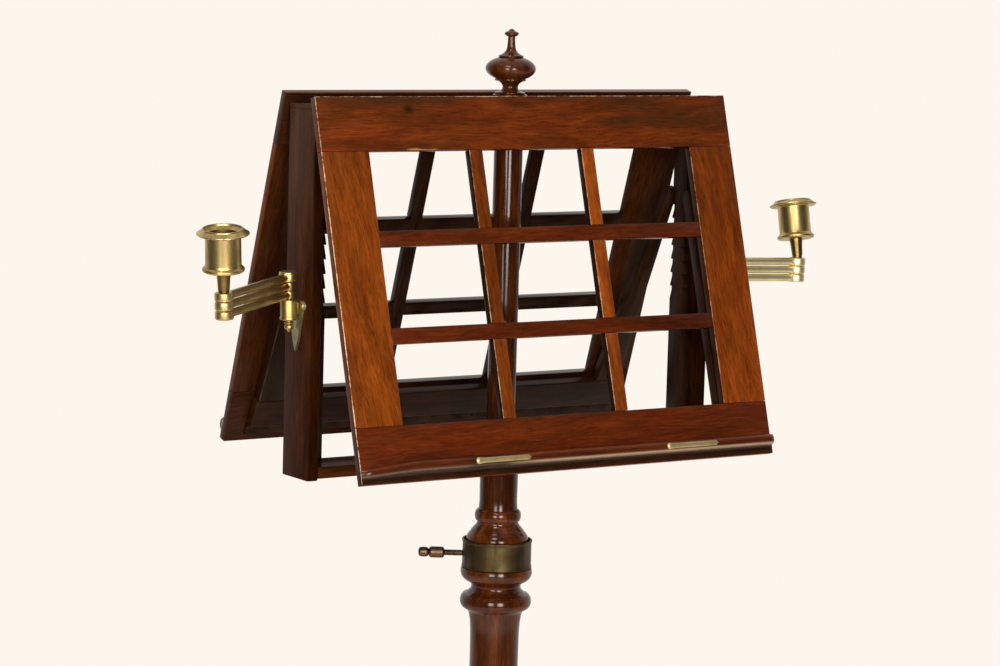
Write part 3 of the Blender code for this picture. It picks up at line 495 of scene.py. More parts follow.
def grained(shape, place, half=(FAR, FAR, FAR), tone=(1.0, 1.0), bare=0.0, upper=0.3, wear=(0.0, 0.0),
            smoky=0.2, red=0.0, knot=(FAR, FAR), chip=FAR, paint=None):
    """Writes on each point where it lies in its own board. Tone runs from one end of the grain to the other.
    Away from its face a bare board is dull; upper is the shine of its upper side. Paint is a rule from a
    point and its normal to its own tone, paleness and bareness; with these some rules paint light: shade as a
    lower tone or as bare, dark wood, and highlights and sheen as paleness."""
    seed = 0.37 * next(seeds)
    bmesh.ops.recalc_face_normals(shape, faces=shape.faces)
    shape.normal_update()
    layers = shape.verts.layers.float_vector
    names = ("board", "half", "tone", "wear", "mark", "sheen")
    for name in names:
        layers.new(name)
    at, reach, look, rubbed_and_sheen, mark, sheen = (layers[name] for name in names)
    inverse = place.inverted()
    for vert in shape.verts:
        spot = inverse @ vert.co
        share = clamped(0.5 + 0.5 * spot.x / half[0])
        # A paint rule paints light: shade as a lower tone or as bare, dark wood, and highlights as paleness
        own, pale, dull = paint(spot, vert.normal) if paint else (1.0, 0.0, 0.0)
        shine = 1.0
        if bare and not paint and spot.z > 0.0003 - half[2]:
            dull = bare
            shine = upper if vert.normal.z > 0.75 else 0.3
            if abs(vert.co.x) > DESK_WIDTH / 2 - 0.002 and abs(vert.normal.x) > 0.6:
                # A desk's outer edges are polished, and darker towards the ledge.
                polish = min(max((vert.co.z - 0.80) / 0.30, 0.2), 0.95)
                dull = bare * (1 - polish)
                shine = 0.6
        vert[at] = spot
        vert[reach] = half
        vert[look] = (own * (tone[0] + (tone[1] - tone[0]) * share), seed, dull)
        # Wear at the ends and sides, then the painted pale highlight and sheen
        vert[rubbed_and_sheen] = (*wear, pale)
        vert[mark] = (smoky, *knot)
        vert[sheen] = (shine, red, chip)
    return shape


def wooden(name, shape, place, finish, body, sharp=38, **look):
    piece(name + "_wood", grained(shape, place, **look), finish, body, [name], sharp)


def grain_of(name, carrier, along, through, turn=1):
    """The place of a board whose grain runs along one axis of its carrier, and half its size along the grain,
    across it and through it. A turn of -1 faces the board the other way."""
    low, high = extents(name, carrier)
    size = (high - low) / 2
    place = turned_to(carrier @ ((low + high) / 2), axis(carrier, along), turn * axis(carrier, through))
    return place, (size[along], size[X + Y + Z - along - through], size[through])


def planed(name, carrier, through, finish, body):
    """A board with rounded edges that fills a solid of the part, its grain along the carrier's x."""
    place, half = grain_of(name, carrier, X, through)
    wooden(name, moved(board(half, 0.001), place), place, finish, body, half=half)


def upright_grain(origin):
    """A place whose grain runs up, for turned pieces."""
    return turned_to(origin, UP, (0, 1, 0))


# Column, legs and collar


def column():
    neck = 0.0295
    bore = 0.0125
    outline = [
        [(0, 0.06), (0.01, 0.062), (0.019, 0.07), (0.02, 0.08)],
        [(0.034, 0.087), (0.036, 0.092)],
        (0.036, 0.206),
        [(0.0405, 0.2095), (0.041, 0.214), (0.0405, 0.2185), (0.034, 0.223)],
        [(0.0255, 0.231), (0.023, 0.24), (0.024, 0.258), (0.032, 0.298), (0.036, 0.33), (0.033, 0.366),
         (0.026, 0.396), (0.025, 0.412)],
        [(0.0302, 0.4155), (0.031, 0.4215), (0.0302, 0.4275), (0.0255, 0.431)],
        [(0.0243, 0.442), (0.0239, 0.466), (0.0239, 0.50), (0.0239, 0.535), (0.0239, 0.568), (0.0239, 0.592),
         (0.024, 0.607), (0.0243, 0.617), (0.025, 0.6255), (0.0265, 0.6325), (0.029, 0.6355)],
        [(0.0325, 0.6375), (0.0347, 0.641), (0.035, 0.6442), (0.0343, 0.6478), (0.0325, 0.6505)],
        (0.032, 0.651),
        [(0.029, 0.6522), (0.0258, 0.6547), (0.0243, 0.6576), (0.0246, 0.6602), (0.0262, 0.6622)],
        (0.028, 0.6632),
        [(0.0312, 0.665), (0.0338, 0.668), (0.0351, 0.6716), (0.035, 0.6748), (0.0343, 0.6771)],
        (neck, 0.6773), (neck, 0.702), (bore, 0.702), (bore, 0.66), (0, 0.66),
    ]
    return lathe(outline, 72)


wooden("column", column(), upright_grain((0, 0, 0)), TURNED, "base")


def bezier(points, steps):
    line = []
    for i in range(steps + 1):
        t = i / steps
        weights = ((1 - t) ** 3, 3 * t * (1 - t) ** 2, 3 * t * t * (1 - t), t**3)
        line.append(tuple(sum(w * p[k] for w, p in zip(weights, points)) for k in (0, 1)))
    return line


def leg():
    """An S-curved board on a flat foot, in its own x and z."""
    upper = [(LEG_INNER, 0.196), (0.118, 0.205), (0.135, 0.034), (LEG_REACH - 0.016, 0.03)]
    lower = [(LEG_REACH - LEG_FOOT, 0.006), (0.125, 0.006), (0.105, 0.108), (LEG_INNER, 0.10)]
    toe = arc((LEG_REACH - 0.015, 0.015), 0.015, 80, -90, 14)
    outline = bezier(upper, 30) + toe + [(LEG_REACH - LEG_FOOT, 0.0)] + bezier(lower, 30)
    return cut_out(outline, (-LEG_WIDTH / 2, LEG_WIDTH / 2), Y, 0.0032, 4)


for number in (1, 2, 3):
    spin = Matrix.Rotation(2 * math.pi * (number - 1) / 3, 4, "Z")
    slope = spin @ Matrix.Rotation(math.radians(32), 4, "Y")
    wooden(f"leg_{number}", moved(leg(), spin), slope, TURNED, "base")

collar = [
    (0.03, 0.6777), (0.0339, 0.6777),
    [(0.0343, 0.6781), (0.0343, 0.679), (0.034, 0.6796)],
    [(0.0338, 0.682), (0.0338, 0.70), (0.034, 0.7026)],
    [(0.0344, 0.7036), (0.0344, 0.7046), (0.034, 0.7051)],
    (0.033, 0.7051),
    [(0.0326, 0.704), (0.0325, 0.699)],
    (0.03, 0.699),
]
piece("collar_ring", lathe(collar, 72, ring=True), DARK_BRASS, "base", ["collar"])

# Thumbscrew and its pad, on an axis square to the pole
thumb = joints["thumbscrew_turn"]
thumb_place = turned_to(thumb["pos_m"], UP, thumb["axis"])


def thumbscrew():
    """A threaded shank with a two-part turned head."""
    outline = [(0, 0.0158), (0.0026, 0.0158), (0.003, 0.0164)]
    turn = 0.0164
    while turn < 0.0505:
        outline += [(0.003, turn), (0.003, turn + 0.0004), (0.0025, turn + 0.0008), (0.003, turn + 0.0012)]
        turn += 0.0012
    outline += [
        (0.0046, 0.052),
        [(0.0053, 0.053), (0.0055, 0.0546), (0.0055, 0.063), (0.0052, 0.065), (0.0042, 0.0662)],
        (0.0031, 0.0668),
        [(0.004, 0.0676), (0.0048, 0.0696), (0.0048, 0.0738), (0.004, 0.076), (0.002, 0.0769), (0, 0.077)],
    ]
    return lathe(outline, 32)


pad = [[(0, 0.0124), (0.0026, 0.0124), (0.003, 0.0128)], (0.003, 0.015), [(0.0026, 0.0154), (0, 0.0154)]]
piece("clamp_pad_button", moved(lathe(pad, 32), thumb_place), BRASS, "clamp_pad", ["clamp_pad"])
piece("thumbscrew_turned", moved(thumbscrew(), thumb_place), COPPER, "thumbscrew", ["thumbscrew"], 50)

# Pole and finial


def pole():
    rod = 0.012
    shaft = 0.0139
    outline = [
        (0, 0.3029), (rod - 0.001, 0.3029), (rod, 0.3039), (rod, 0.7029), (0.029, 0.7029),
        [(0.0301, 0.7042), (0.0303, 0.7062), (0.0295, 0.7088), (0.0279, 0.7113), (0.0262, 0.7133)],
        (0.0258, 0.7142),
        [(0.024, 0.7164), (0.022, 0.7186), (0.0207, 0.7206), (0.0202, 0.7222)],
        (0.0205, 0.723),
        [(0.0217, 0.7242), (0.0225, 0.7264), (0.0227, 0.7288), (0.0224, 0.7314), (0.0214, 0.7336),
         (0.0201, 0.7348)],
        (0.0191, 0.7352),
        [(0.0185, 0.743), (0.0186, 0.756), (0.0187, 0.769), (0.0191, 0.7822)],
        (shaft, 0.7822), (shaft, 1.1314), (0, 1.1314),
    ]
    return lathe(outline, 72)


def pole_look(spot, normal):
    """""The thick foot of the pole is darker than the rest: painted shade under the ledges."" """
    return (0.55 if 0.7353 < spot.x < 0.783 else 1.0), 0.0, 0.0


def finial():
    """A peg, a foot, a flattened ball and a tip, with heights from the desks' upper edge."""
    peg = 0.005
    outline = [
        (0, -0.0298), (peg, -0.0298), (peg, -0.0078), (0.0162, -0.0078), (0.0164, -0.0072),
        [(0.0168, -0.006), (0.0169, -0.0016), (0.0164, -0.0002)],
        (0.0142, 0.0002),
        [(0.0146, 0.0008), (0.0145, 0.0016), (0.0136, 0.0021)],
        [(0.0104, 0.003), (0.0083, 0.0046), (0.0075, 0.0068), (0.0078, 0.0086), (0.0092, 0.0106),
         (0.0116, 0.0121), (0.014, 0.0129)],
        (0.0151, 0.0131),
        [(0.0152, 0.0138), (0.015, 0.0144)],
        arc((0, 0.0246), (0.0243, 0.0122), -52, 60, 16),
        (0.0113, 0.0355), (0.012, 0.0356),
        [(0.0122, 0.0363), (0.0119, 0.0371)],
        [(0.0086, 0.0387), (0.0058, 0.041), (0.0043, 0.0444), (0.0037, 0.0499), (0.0035, 0.055)],
        [(0.005, 0.0558), (0.0066, 0.0571), (0.0069, 0.0583), (0.0061, 0.0594), (0.0044, 0.0603),
         (0.0032, 0.0608)],
        [(0.0025, 0.0616), (0.0015, 0.0624), (0, 0.0628)],
    ]
    return lathe(raised(outline, DESK_TOP), 64)


wooden("pole", pole(), upright_grain((0.004, 0.002, 0)), TURNED, "pole", paint=pole_look)
wooden("finial", finial(), upright_grain((0.003, 0.006, 0)), TURNED, "pole")

# Frame: posts with a cap line, rails and racks
WORLD = Matrix.Identity(4)


def post(low, high):
    """A post with softened edges and a fine groove below its top, cut across so that its tone can change."""
    half = (high - low) / 2
    centre = (low + high) / 2
    levels = [(low.z, 0.0006), (low.z + 0.0006, 0.0), (high.z - 0.0056, 0.0), (high.z - 0.0052, 0.0005)]
    levels += [(high.z - 0.0044, 0.0005), (high.z - 0.004, 0.0), (high.z - 0.0007, 0.0), (high.z, 0.0007)]
    rings = []
    for level, inset in levels:
        outline = rounded(half.x - inset, half.y - inset, 0.0014, 4)
        rings.append([(centre.x + x, centre.y + y, level) for x, y in outline])
    shape = loft(rings)
    for k in range(1, 6):
        whole = shape.verts[:] + shape.edges[:] + shape.faces[:]
        bmesh.ops.bisect_plane(shape, geom=whole, plane_co=low + (high - low) * k / 6, plane_no=UP)
    return shape


def left_post_look(spot, normal):
    """""A post is painted darker on all but its outer side, as painted shade. The left one's outer side is
    greyer at the top, a painted sheen.""
    """
    if normal.x > -0.75:
        return 0.5, 0.0, 0.0
    # The outer side: a painted grey sheen towards the top
    return 1.0, 0.04 * clamped((spot.x - 0.04) / 0.10), 0.0


def right_post_look(spot, normal):
    # Painted shade: darker on all but the outer side
    return (1.0 if normal.x > 0.75 else 0.5), 0.0, 0.0


for side, post_look in zip(SIDES, (left_post_look, right_post_look)):
    low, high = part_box(f"post_{side}")
    middle = (low + high) / 2
    half = (high - low) / 2
    wooden(f"post_{side}", post(low, high), turned_to(middle, UP, (1, 0, 0)), POST, "frame",
           half=(half.z, half.y, half.x), tone=(0.74, 1.0), paint=post_look)
    wooden(f"rack_{side}", solid_copy(f"rack_{side}", 0.0002), upright_grain(middle), INNER, "frame", 30)
planed("frame_low_rail", WORLD, Z, POST, "frame")
wooden("frame_top_rail", solid_copy("frame_top_rail", 0.0004), WORLD, INNER, "frame", 30)


# Desks, with their struts, hinges and clips


def ledge_section():
    """(out from the desk's face, up from its lower edge) round the moulding, finely stepped."""
    cove = 0.0043
    points = [(0.0003, 0.0005), (0.0016, 0.0005)]
    points += arc((0.0016 + cove, 0.0045), cove, 180, 100, 8)
    points += arc((0.0073, 0.0136), 0.0049, -75, 90, 18)
    return points + [(0.0003, 0.0185)]


WORN_LENGTH = 0.060
WORN_SINK = 0.24


def worn_share(along):
    """How whole the ledge is near its worn end: 0 at its tip, then 1."""
    t = clamped((along + DESK_WIDTH / 2) / WORN_LENGTH)
    return t * t * (3 - 2 * t)


def ledge(face_out, desk_bottom, worn_end):
    """The moulding along a desk's foot. Its ends are rounded; a worn end sinks and thins towards its tip."""
    section = ledge_section()
    deepest = max(out for out, _ in section)
    angles = [math.radians(a) for a in range(0, 91, 10)]
    stations = []
    for end, angle in [(-1, a) for a in angles] + [(1, a) for a in reversed(angles)]:
        along = end * (DESK_WIDTH / 2 - LEDGE_END * (1 - math.cos(angle)))
        stations.append((along, 1 - LEDGE_END * (1 - math.sin(angle)) / deepest, 1.0))
    if worn_end:
        tip = [0.35, 0.75, 0.92] + [1.0] * 14
        thin = []
        for k, rounding in enumerate(tip):
            along = WORN_LENGTH * k / (len(tip) - 1) - DESK_WIDTH / 2
            share = worn_share(along)
            thin.append((along, (0.55 + 0.45 * share) * rounding, 1 - WORN_SINK * (1 - share)))
        even = [(-0.160 + 0.015 * k, 1.0, 1.0) for k in range(11)]
        stations = thin + even + [s for s in stations if s[0] > 0]
    rings = []
    inner = section[0][0]
    for along, scale, rise in stations:
        ring = [(face_out - inner - (out - inner) * scale, desk_bottom + up * rise) for out, up in section]
        rings.append([(along, depth, height) for depth, height in ring])
    return loft(rings)


def ledge_look(spot, normal):
    """""A red bead painted lightest on top, a thin pale line under it that is a painted highlight, and a
    hollow and foot painted dark as shade.""
    """
    up = -spot.y / (1 - WORN_SINK * (1 - worn_share(spot.x)))
    out = -spot.z
    # line: strength of the pale line, a painted highlight, strongest towards the right
    line = 0.14 + 0.42 * clamped((spot.x + 0.085) / 0.05)
    dark = 1.0
    dull = 0.0
    # Here the bead is darker and duller, and its painted highlight is all but gone
    if -0.128 < spot.x < -0.072:
        line = 0.05
        dark = 0.75
        dull = 0.75
    # The bead: painted lighter towards its top, with the painted highlight along its lower part
    if up > 0.0088 and out > 0.002:
        share = clamped((up - 0.0112) / 0.0073)
        return dark * (0.6 + 0.75 * share**1.5), line * clamped((0.0108 - up) / 0.0012), dull
    # The bead's lower edge: the painted highlight fading into the painted shade below it
    if up > 0.008:
        return 0.8, line * clamped((up - 0.008) / 0.0007), 0.7
    # The hollow and foot: painted shade, drawn as bare, dark wood; the bottom edge less so
    return 0.9, 0.0, (1.0 if up > 0.002 else 0.6)


def crown_look(spot, normal):
    """The rear desk's top rail: red where it is polished, on top and outside, and bare inside."""
    if normal.z > 0.5:
        return 1.5, 0.0, 0.0
    return 1.0, 0.0, (0.0 if normal.y > 0.3 else 0.85)


DESK_BOARDS = {
    "top_rail": X, "bottom_rail": X, "stile_left": Z, "stile_right": Z,
    "upright_left": Z, "upright_right": Z, "crossbar_upper": X, "crossbar_lower": X,
}
OWN_LOOKS = {
    "front_top_rail": {"tone": (1.42, 1.18), "smoky": 0.7, "wear": (0.5, 0.65), "knot": (-0.1355, -0.0131),
                       "chip": -0.126},
    "front_bottom_rail": {"tone": (1.12, 1.14), "smoky": 0.3, "wear": (0.85, 0.0), "red": 0.6},
    "front_stile_left": {"tone": (1.30, 1.20), "wear": (0.0, 0.9)},
    "front_stile_right": {"tone": (1.42, 0.94), "wear": (0.0, 0.3), "red": 0.3},
    "front_upright_left": {"tone": (1.0, 0.95), "wear": (0.0, 0.45)},
    "front_upright_right": {"tone": (1.3, 1.9), "wear": (0.0, 0.45)},
    "front_crossbar_upper": {"tone": (1.0, 0.95), "red": 0.3},
    "front_crossbar_lower": {"tone": (0.95, 0.8), "red": 0.5},
    "rear_top_rail": {"tone": (1.3, 1.3), "paint": crown_look},
}


def desk_boards(face, desk):
    """Rails and stiles, then the bars of the lattice, which are notched into each other, and the ledge."""
    body = f"{face}_desk"
    for name, along in DESK_BOARDS.items():
        node = f"{face}_{name}"
        notched = name.startswith(("upright", "crossbar"))
        place, half = grain_of(node, desk, along, Y)
        shape = solid_copy(node, 0.00035) if notched else moved(board(half, 0.0004), place)
        look = {"tone": (1.1, 1.1), "bare": 1.0 if notched else 0.85, "upper": 3.0 if face == "rear" else 0.3}
        look.update(OWN_LOOKS.get(node, {}))
        wooden(node, shape, place, RAIL if along == X else STILE, body, half=half, **look)
    low, _ = extents(f"{face}_bottom_rail", desk)
    shape = moved(ledge(low.y, low.z, face == "front"), desk)
    place = turned_to(desk @ Vector((0, low.y, low.z)), axis(desk, X), axis(desk, Y))
    wooden(f"{face}_ledge", shape, place, RAIL, body, paint=ledge_look)


screw_places = {}


def screw(body, place, facing, size):
    places = screw_places.setdefault(body, [])
    places.append((Vector(place), Vector(facing), size, 0.4 + 0.9 * len(screw_places)))


def strut(face, desk):
    """A cross rail and two arms, turned about their long hinge."""
    way = axis(desk, X)
    lean = STRUT_LEAN[face]
    rise = UP * math.cos(lean) - way.cross(UP) * math.sin(lean)
    place = turned_to(joints[f"{face}_strut_fold"]["pos_m"], way, rise)
    body = f"{face}_strut"
    planed(f"{body}_rail", place, Y, INNER, body)
    for side in SIDES:
        node = f"{body}_arm_{side}"
        grain, half = grain_of(node, place, Z, Y, -1)
        wooden(node, solid_copy(node, 0.0005), grain, INNER, body, half=half, wear=(0.0, 0.07))
        low, high = extents(node, place)
        sign, edge = (-1, low.x) if low.x + high.x < 0 else (1, high.x)
        screw(body, place @ Vector((edge, (low.y + high.y) / 2, 0.024)), way * sign, 1.1)


def barrel(half_length, knuckles):
    """A hinge's barrel along x, parted into knuckles."""
    radius = 0.0022
    step = 2 * half_length / knuckles
    outline = [(0, -half_length)]
    for k in range(knuckles):
        start = -half_length + k * step
        outline += [(radius - 0.0003, start + 0.0001), (radius, start + 0.0004)]
        outline += [(radius, start + step - 0.0004), (radius - 0.0003, start + step - 0.0001)]
    outline.append((0, half_length))
    return moved(lathe(outline, 24), Matrix.Rotation(math.pi / 2, 4, "Y"))


def hinge(node, body, place, knuckles, facing, drop, spots):
    """A barrel with a leaf below it. The leaf's screws, in a row, face along y or against it."""
    low, high = extents(node, place)
    back = low.y if facing > 0 else high.y
    front = back + facing * HINGE_LEAF
    leaf = plate((low.x, min(back, front), low.z), (high.x, max(back, front), 0.0))
    piece(node + "_iron", moved(joined(barrel(high.x, knuckles), leaf), place), IRON, body, [node])
    for along in spots:
        screw(body, place @ Vector((along, front, -drop)), facing * axis(place, Y), 0.7)


def hinges(face, desk):
    """The strut's long hinge on the desk's back, and the desk's two on the frame's top rail."""
    way = axis(desk, X)
    place = turned_to(joints[f"{face}_strut_fold"]["pos_m"], way, axis(desk, Z))
    hinge(f"{face}_strut_hinge", f"{face}_desk", place, 15, 1, 0.0062, [-0.192 + 0.048 * k for k in range(9)])
    for side in SIDES:
        node = f"{face}_hinge_{side}"
        low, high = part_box(node)
        at = Vector(((low.x + high.x) / 2, *desk.translation.yz))
        hinge(node, "frame", turned_to(at, way, UP), 5, -1, 0.0105, (-0.017, 0.0, 0.017))


def clip_strip():
    """A domed brass strip from its pivot, out along x, with a low pin through its eye. It faces -y."""
    eye = 0.0032
    width = 0.0025
    length = 0.058
    tip = length - width
    rings = []
    for along in [eye * (k / 8 - 1) for k in range(9)] + [length * k / 24 for k in range(1, 25)]:
        if along < 0:
            wide = math.sqrt(eye**2 - along**2)
        elif along < tip:
            wide = width + (eye - width) * max(0.0, 1 - along / 0.006)
        else:
            wide = math.sqrt(max(width**2 - (along - tip) ** 2, 0.0))
        wide = max(wide, 0.0002)
        tall = 0.0006 + 0.0011 * wide / width
        angles = [math.pi * k / 10 for k in range(11)]
        rings.append([(along, -0.0002 - tall * math.sin(a) ** 0.7, wide * math.cos(a)) for a in angles])
    head = lathe([(0, 0.0012), (0.0015, 0.0012), [(0.0015, 0.002), (0.001, 0.0023), (0, 0.0024)]], 20)
    return joined(loft(rings), moved(head, Matrix.Rotation(math.pi / 2, 4, "X")))


def clips(face, desk):
    for side in SIDES:
        node = f"{face}_clip_{side}"
        low, high = extents(node, desk)
        place = desk @ Matrix.Translation((low.x + 0.0036, high.y, (low.z + high.z) / 2))
        piece(node + "_strip", moved(clip_strip(), place), CLIP, node, [node])


for face, way in (("front", Vector((1, 0, 0))), ("rear", Vector((-1, 0, 0)))):
    outward = Vector(joints[f"{face}_clip_left_turn"]["axis"])
    desk = turned_to(joints[f"{face}_desk_tilt"]["pos_m"], way, outward.cross(way))
    for make in (desk_boards, strut, hinges, clips):
        make(face, desk)

# Candle arms


def knuckle(radius, place):
    outline = [
        (0, 0), (radius - 0.001, 0),
        [(radius - 0.0003, 0.0006), (radius, 0.002), (radius, KNUCKLE - 0.0022),
         (radius - 0.0004, KNUCKLE - 0.0007), (radius - 0.0012, KNUCKLE)],
        (0, KNUCKLE),
    ]
    return moved(lathe(outline, 40), Matrix.Translation((place, 0, 0)))


def strap(near_radius, far_radius, direction):
    """A round-edged bar between two turned knuckles, from the origin along x."""
    outline = arc((0, KNUCKLE / 2), (0.0042, 0.0038), 0, 345, 23)
    ends = (direction * 0.002, direction * (ARM_LENGTH - 0.002))
    bar = loft([[(x, y, z) for y, z in outline] for x in ends])
    return [bar, knuckle(near_radius, 0.0), knuckle(far_radius, direction * ARM_LENGTH)]


def pin(radius, low, high, place=0.0):
    outline = [(0, low), (radius, low), (radius, high), (0, high)]
    return moved(lathe(outline, 24), Matrix.Translation((place, 0, 0)))


def cup(lean_along, lean_across):
    """A candle cup with a sloping rim, and its tapered stem."""
    base = 0.017
    top = base + 0.0405
    bore = 0.0132
    stem = [
        (0, 0.0), (0.0054, 0.0),
        [(0.0056, 0.004), (0.006, 0.01), (0.0067, base - 0.0004)],
        (0.0067, base + 0.001), (0, base + 0.001),
    ]
    foot = [
        (0, -0.0004), (0.0172, 0.0),
        [(0.0187, 0.0007), (0.0192, 0.002), (0.0189, 0.0031), (0.018, 0.004)],
        [(0.017, 0.0048), (0.0165, 0.006), (0.0163, 0.0075)],
    ]
    rim = [
        (0.0162, -0.0082),
        [(0.0165, -0.0074), (0.0174, -0.0068)],
        (0.023, -0.0064),
        [(0.024, -0.0057), (0.024, -0.005)],
        [(0.0224, -0.0041), (0.0206, -0.0029), (0.0192, -0.0019)],
        [(0.019, -0.0011), (0.0184, -0.0007)],
        [(0.0177, -0.0011), (0.0173, -0.0026)],
        [(0.015, -0.0042), (bore, -0.005)],
    ]
    inside = [(bore, 0.008), (bore - 0.0008, 0.0075), (0, 0.0075)]
    bowl = raised(foot, base) + raised(rim, top) + raised(inside, base)
    stub = [(0, 0), (0.005, 0), [(0.005, 0.0034), (0.0044, 0.004)], (0, 0.004)]
    lean = Euler((math.radians(lean_across), math.radians(lean_along), 0)).to_matrix().to_4x4()
    place = Matrix.Translation((0, 0, 0.002)) @ lean
    return moved(lathe(bowl, 72), place), joined(moved(lathe(stem, 40), place), lathe(stub, 32))


SHIELD_LOBE = 0.012
SHIELD_DROP = 0.1955
SHIELD_FACE = POST_OUTER + 0.0028


def shield():
    """Outline of the plate on a post, as (y, height) points."""
    half = flowing([(0.003, -0.19), (0.0062, -0.1906), (0.009, -0.1912)], 4)[:-1]
    half += arc((SHIELD_LOBE, -SHIELD_DROP), 0.005, 100, -110, 18)
    half += flowing([(0.0108, -0.2042), (0.0105, -0.2064), (0.0092, -0.2115), (0.0068, -0.2205),
                     (0.0035, -0.2315), (0.0, -0.239)], 5)
    return [(y, DESK_TOP + z) for y, z in half + [(-y, z) for y, z in reversed(half[:-1])]]


def bracket(sign, place):
    """The shield plate with its leaning socket, neck and pendant knob."""
    back = cut_out(shield(), sorted((sign * (POST_OUTER + 0.0003), sign * SHIELD_FACE)), X, 0.0006, 2)
    boss = 0.0079
    outline = [
        [(0, -0.0316), (0.0014, -0.031), (0.0022, -0.0296), (0.0038, -0.0284), (0.0044, -0.0266),
         (0.004, -0.0248), (0.003, -0.0236)],
        [(0.0044, -0.023), (0.0044, -0.0222), (0.0034, -0.0214)],
        (0.0034, -0.0206), (boss - 0.001, -0.0196),
        [(boss + 0.0006, -0.019), (boss + 0.0008, -0.018), (boss + 0.0006, -0.0168)],
        (boss, -0.016), (boss, -0.0018), (boss - 0.0006, -0.0004), (0, -0.0004),
    ]
    near, far = sorted((sign * (POST_OUTER + 0.001), sign * 0.236))
    low = DESK_TOP - 0.1896 - 0.015
    neck = plate((near, -0.0045, low), (far, 0.0045, low + 0.012), 0.0012)
    return back, joined(neck, moved(lathe(outline, 40), place))


INNER_KNUCKLE = 0.006
OUTER_KNUCKLE = 0.0086
arm_cap = [
    (0, -0.001), (0.0083, -0.001), [(0.0083, 0.0004), (0.0077, 0.0011)], [(0.004, 0.0014), (0, 0.0015)],
]
# The right arms take the paler brass, which is painted light
for side, sign, finish in (("left", -1, BRASS), ("right", 1, PAINTED_LIGHT_BRASS)):
    swing = joints[f"{side}_arm_1_swing"]
    root = Vector(swing["pos_m"])
    rise = Vector(swing["axis"])
    outer = Vector(joints[f"{side}_arm_2_swing"]["pos_m"])
    place = turned_to(root, outer - root - rise * ARM_PITCH, rise)
    shield_plate, socket = bracket(sign, place)
    piece(f"{side}_bracket_plate", shield_plate, PLATE, "frame", [f"{side}_bracket"])
    piece(f"{side}_bracket_socket", socket, AGED_BRASS, "frame", [])
    for y in (-SHIELD_LOBE, SHIELD_LOBE):
        screw("frame", (sign * SHIELD_FACE, y, DESK_TOP - SHIELD_DROP), (sign, 0, 0), 1.15)

    pin_top = (0.0025, KNUCKLE / 2, KNUCKLE + 0.006)
    first = strap(INNER_KNUCKLE, OUTER_KNUCKLE, 1)
    first += [pin(0.0028, -0.014, KNUCKLE / 2), pin(*pin_top, ARM_LENGTH)]
    second = strap(OUTER_KNUCKLE, INNER_KNUCKLE, -1) + [pin(*pin_top, -ARM_LENGTH)]
    third = strap(0.0087, OUTER_KNUCKLE, 1) + [lathe(raised(arm_cap, KNUCKLE), 40)]
    for number, shapes, along in ((1, first, 0.0), (2, second, ARM_LENGTH), (3, third, 0.0)):
        node = f"{side}_arm_{number}"
        arm_place = place @ Matrix.Translation((along, 0, (number - 1) * ARM_PITCH))
        piece(node + "_brass", moved(joined(*shapes), arm_place), finish, node, [node])

    cup_place = place @ Matrix.Translation((ARM_LENGTH, 0, 2 * ARM_PITCH + KNUCKLE + 0.0003))
    bowl, stem = cup(*CUP_LEAN[side])
    piece(f"{side}_cup_brass", moved(bowl, cup_place), CUP_BRASS, f"{side}_arm_3", [f"{side}_cup"])
    piece(f"{side}_cup_stem", moved(stem, cup_place), STEM, f"{side}_arm_3", [])


# Screws: one slotted head on each marked point, turned to face its way


def screw_tree():
    tree = bpy.data.node_groups.new("slotted_screws", "GeometryNodeTree")
    tree.interface.new_socket("Geometry", in_out="INPUT", socket_type="NodeSocketGeometry")
    for name, size in (("Head Radius", 0.0024), ("Head Height", 0.0008), ("Slot Width", 0.0006)):
        tree.interface.new_socket(name, in_out="INPUT", socket_type="NodeSocketFloat").default_value = size
    tree.interface.new_socket("Finish", in_out="INPUT", socket_type="NodeSocketMaterial")
    tree.interface.new_socket("Geometry", in_out="OUTPUT", socket_type="NodeSocketGeometry")

    def add(kind, inputs, **settings):
        return add_node(tree, kind, inputs, **settings)[0]

    def marked(name, kind):
        return add("GeometryNodeInputNamedAttribute", {"Name": name}, data_type=kind)

    given = add_node(tree, "NodeGroupInput", {})
    radius = given["Head Radius"]
    height = given["Head Height"]
    crown = add("ShaderNodeMath", {0: radius, 1: 0.72}, operation="MULTIPLY")
    sizes = {"Vertices": 20, "Radius Top": crown, "Radius Bottom": radius, "Depth": height}
    head = add("GeometryNodeMeshCone", sizes)
    slot_length = add("ShaderNodeMath", {0: radius, 1: 3.0}, operation="MULTIPLY")
    slot_size = add("ShaderNodeCombineXYZ", {0: slot_length, 1: given["Slot Width"], 2: height})
    block = add("GeometryNodeMeshCube", {"Size": slot_size})
    lift = add("ShaderNodeCombineXYZ", {2: height})
    block = add("GeometryNodeTransform", {"Geometry": block, "Translation": lift})
    slotted = add("GeometryNodeMeshBoolean", {"Mesh 1": head, "Mesh 2": block}, operation="DIFFERENCE")
    aimed = add("FunctionNodeAlignRotationToVector", {"Vector": marked("facing", "FLOAT_VECTOR")}, axis="Z")
    spun = add("FunctionNodeAxisAngleToRotation", {"Axis": UP, "Angle": marked("turn", "FLOAT")})
    aimed = add("FunctionNodeRotateRotation", {0: aimed, 1: spun}, rotation_space="LOCAL")
    size = marked("size", "FLOAT")
    placed = {"Points": given["Geometry"], "Instance": slotted, "Rotation": aimed, "Scale": size}
    heads = add("GeometryNodeInstanceOnPoints", placed)
    real = add("GeometryNodeRealizeInstances", {"Geometry": heads})
    done = add("GeometryNodeSetMaterial", {"Geometry": real, "Material": given["Finish"]})
    add_node(tree, "NodeGroupOutput", {"Geometry": done})
    return tree


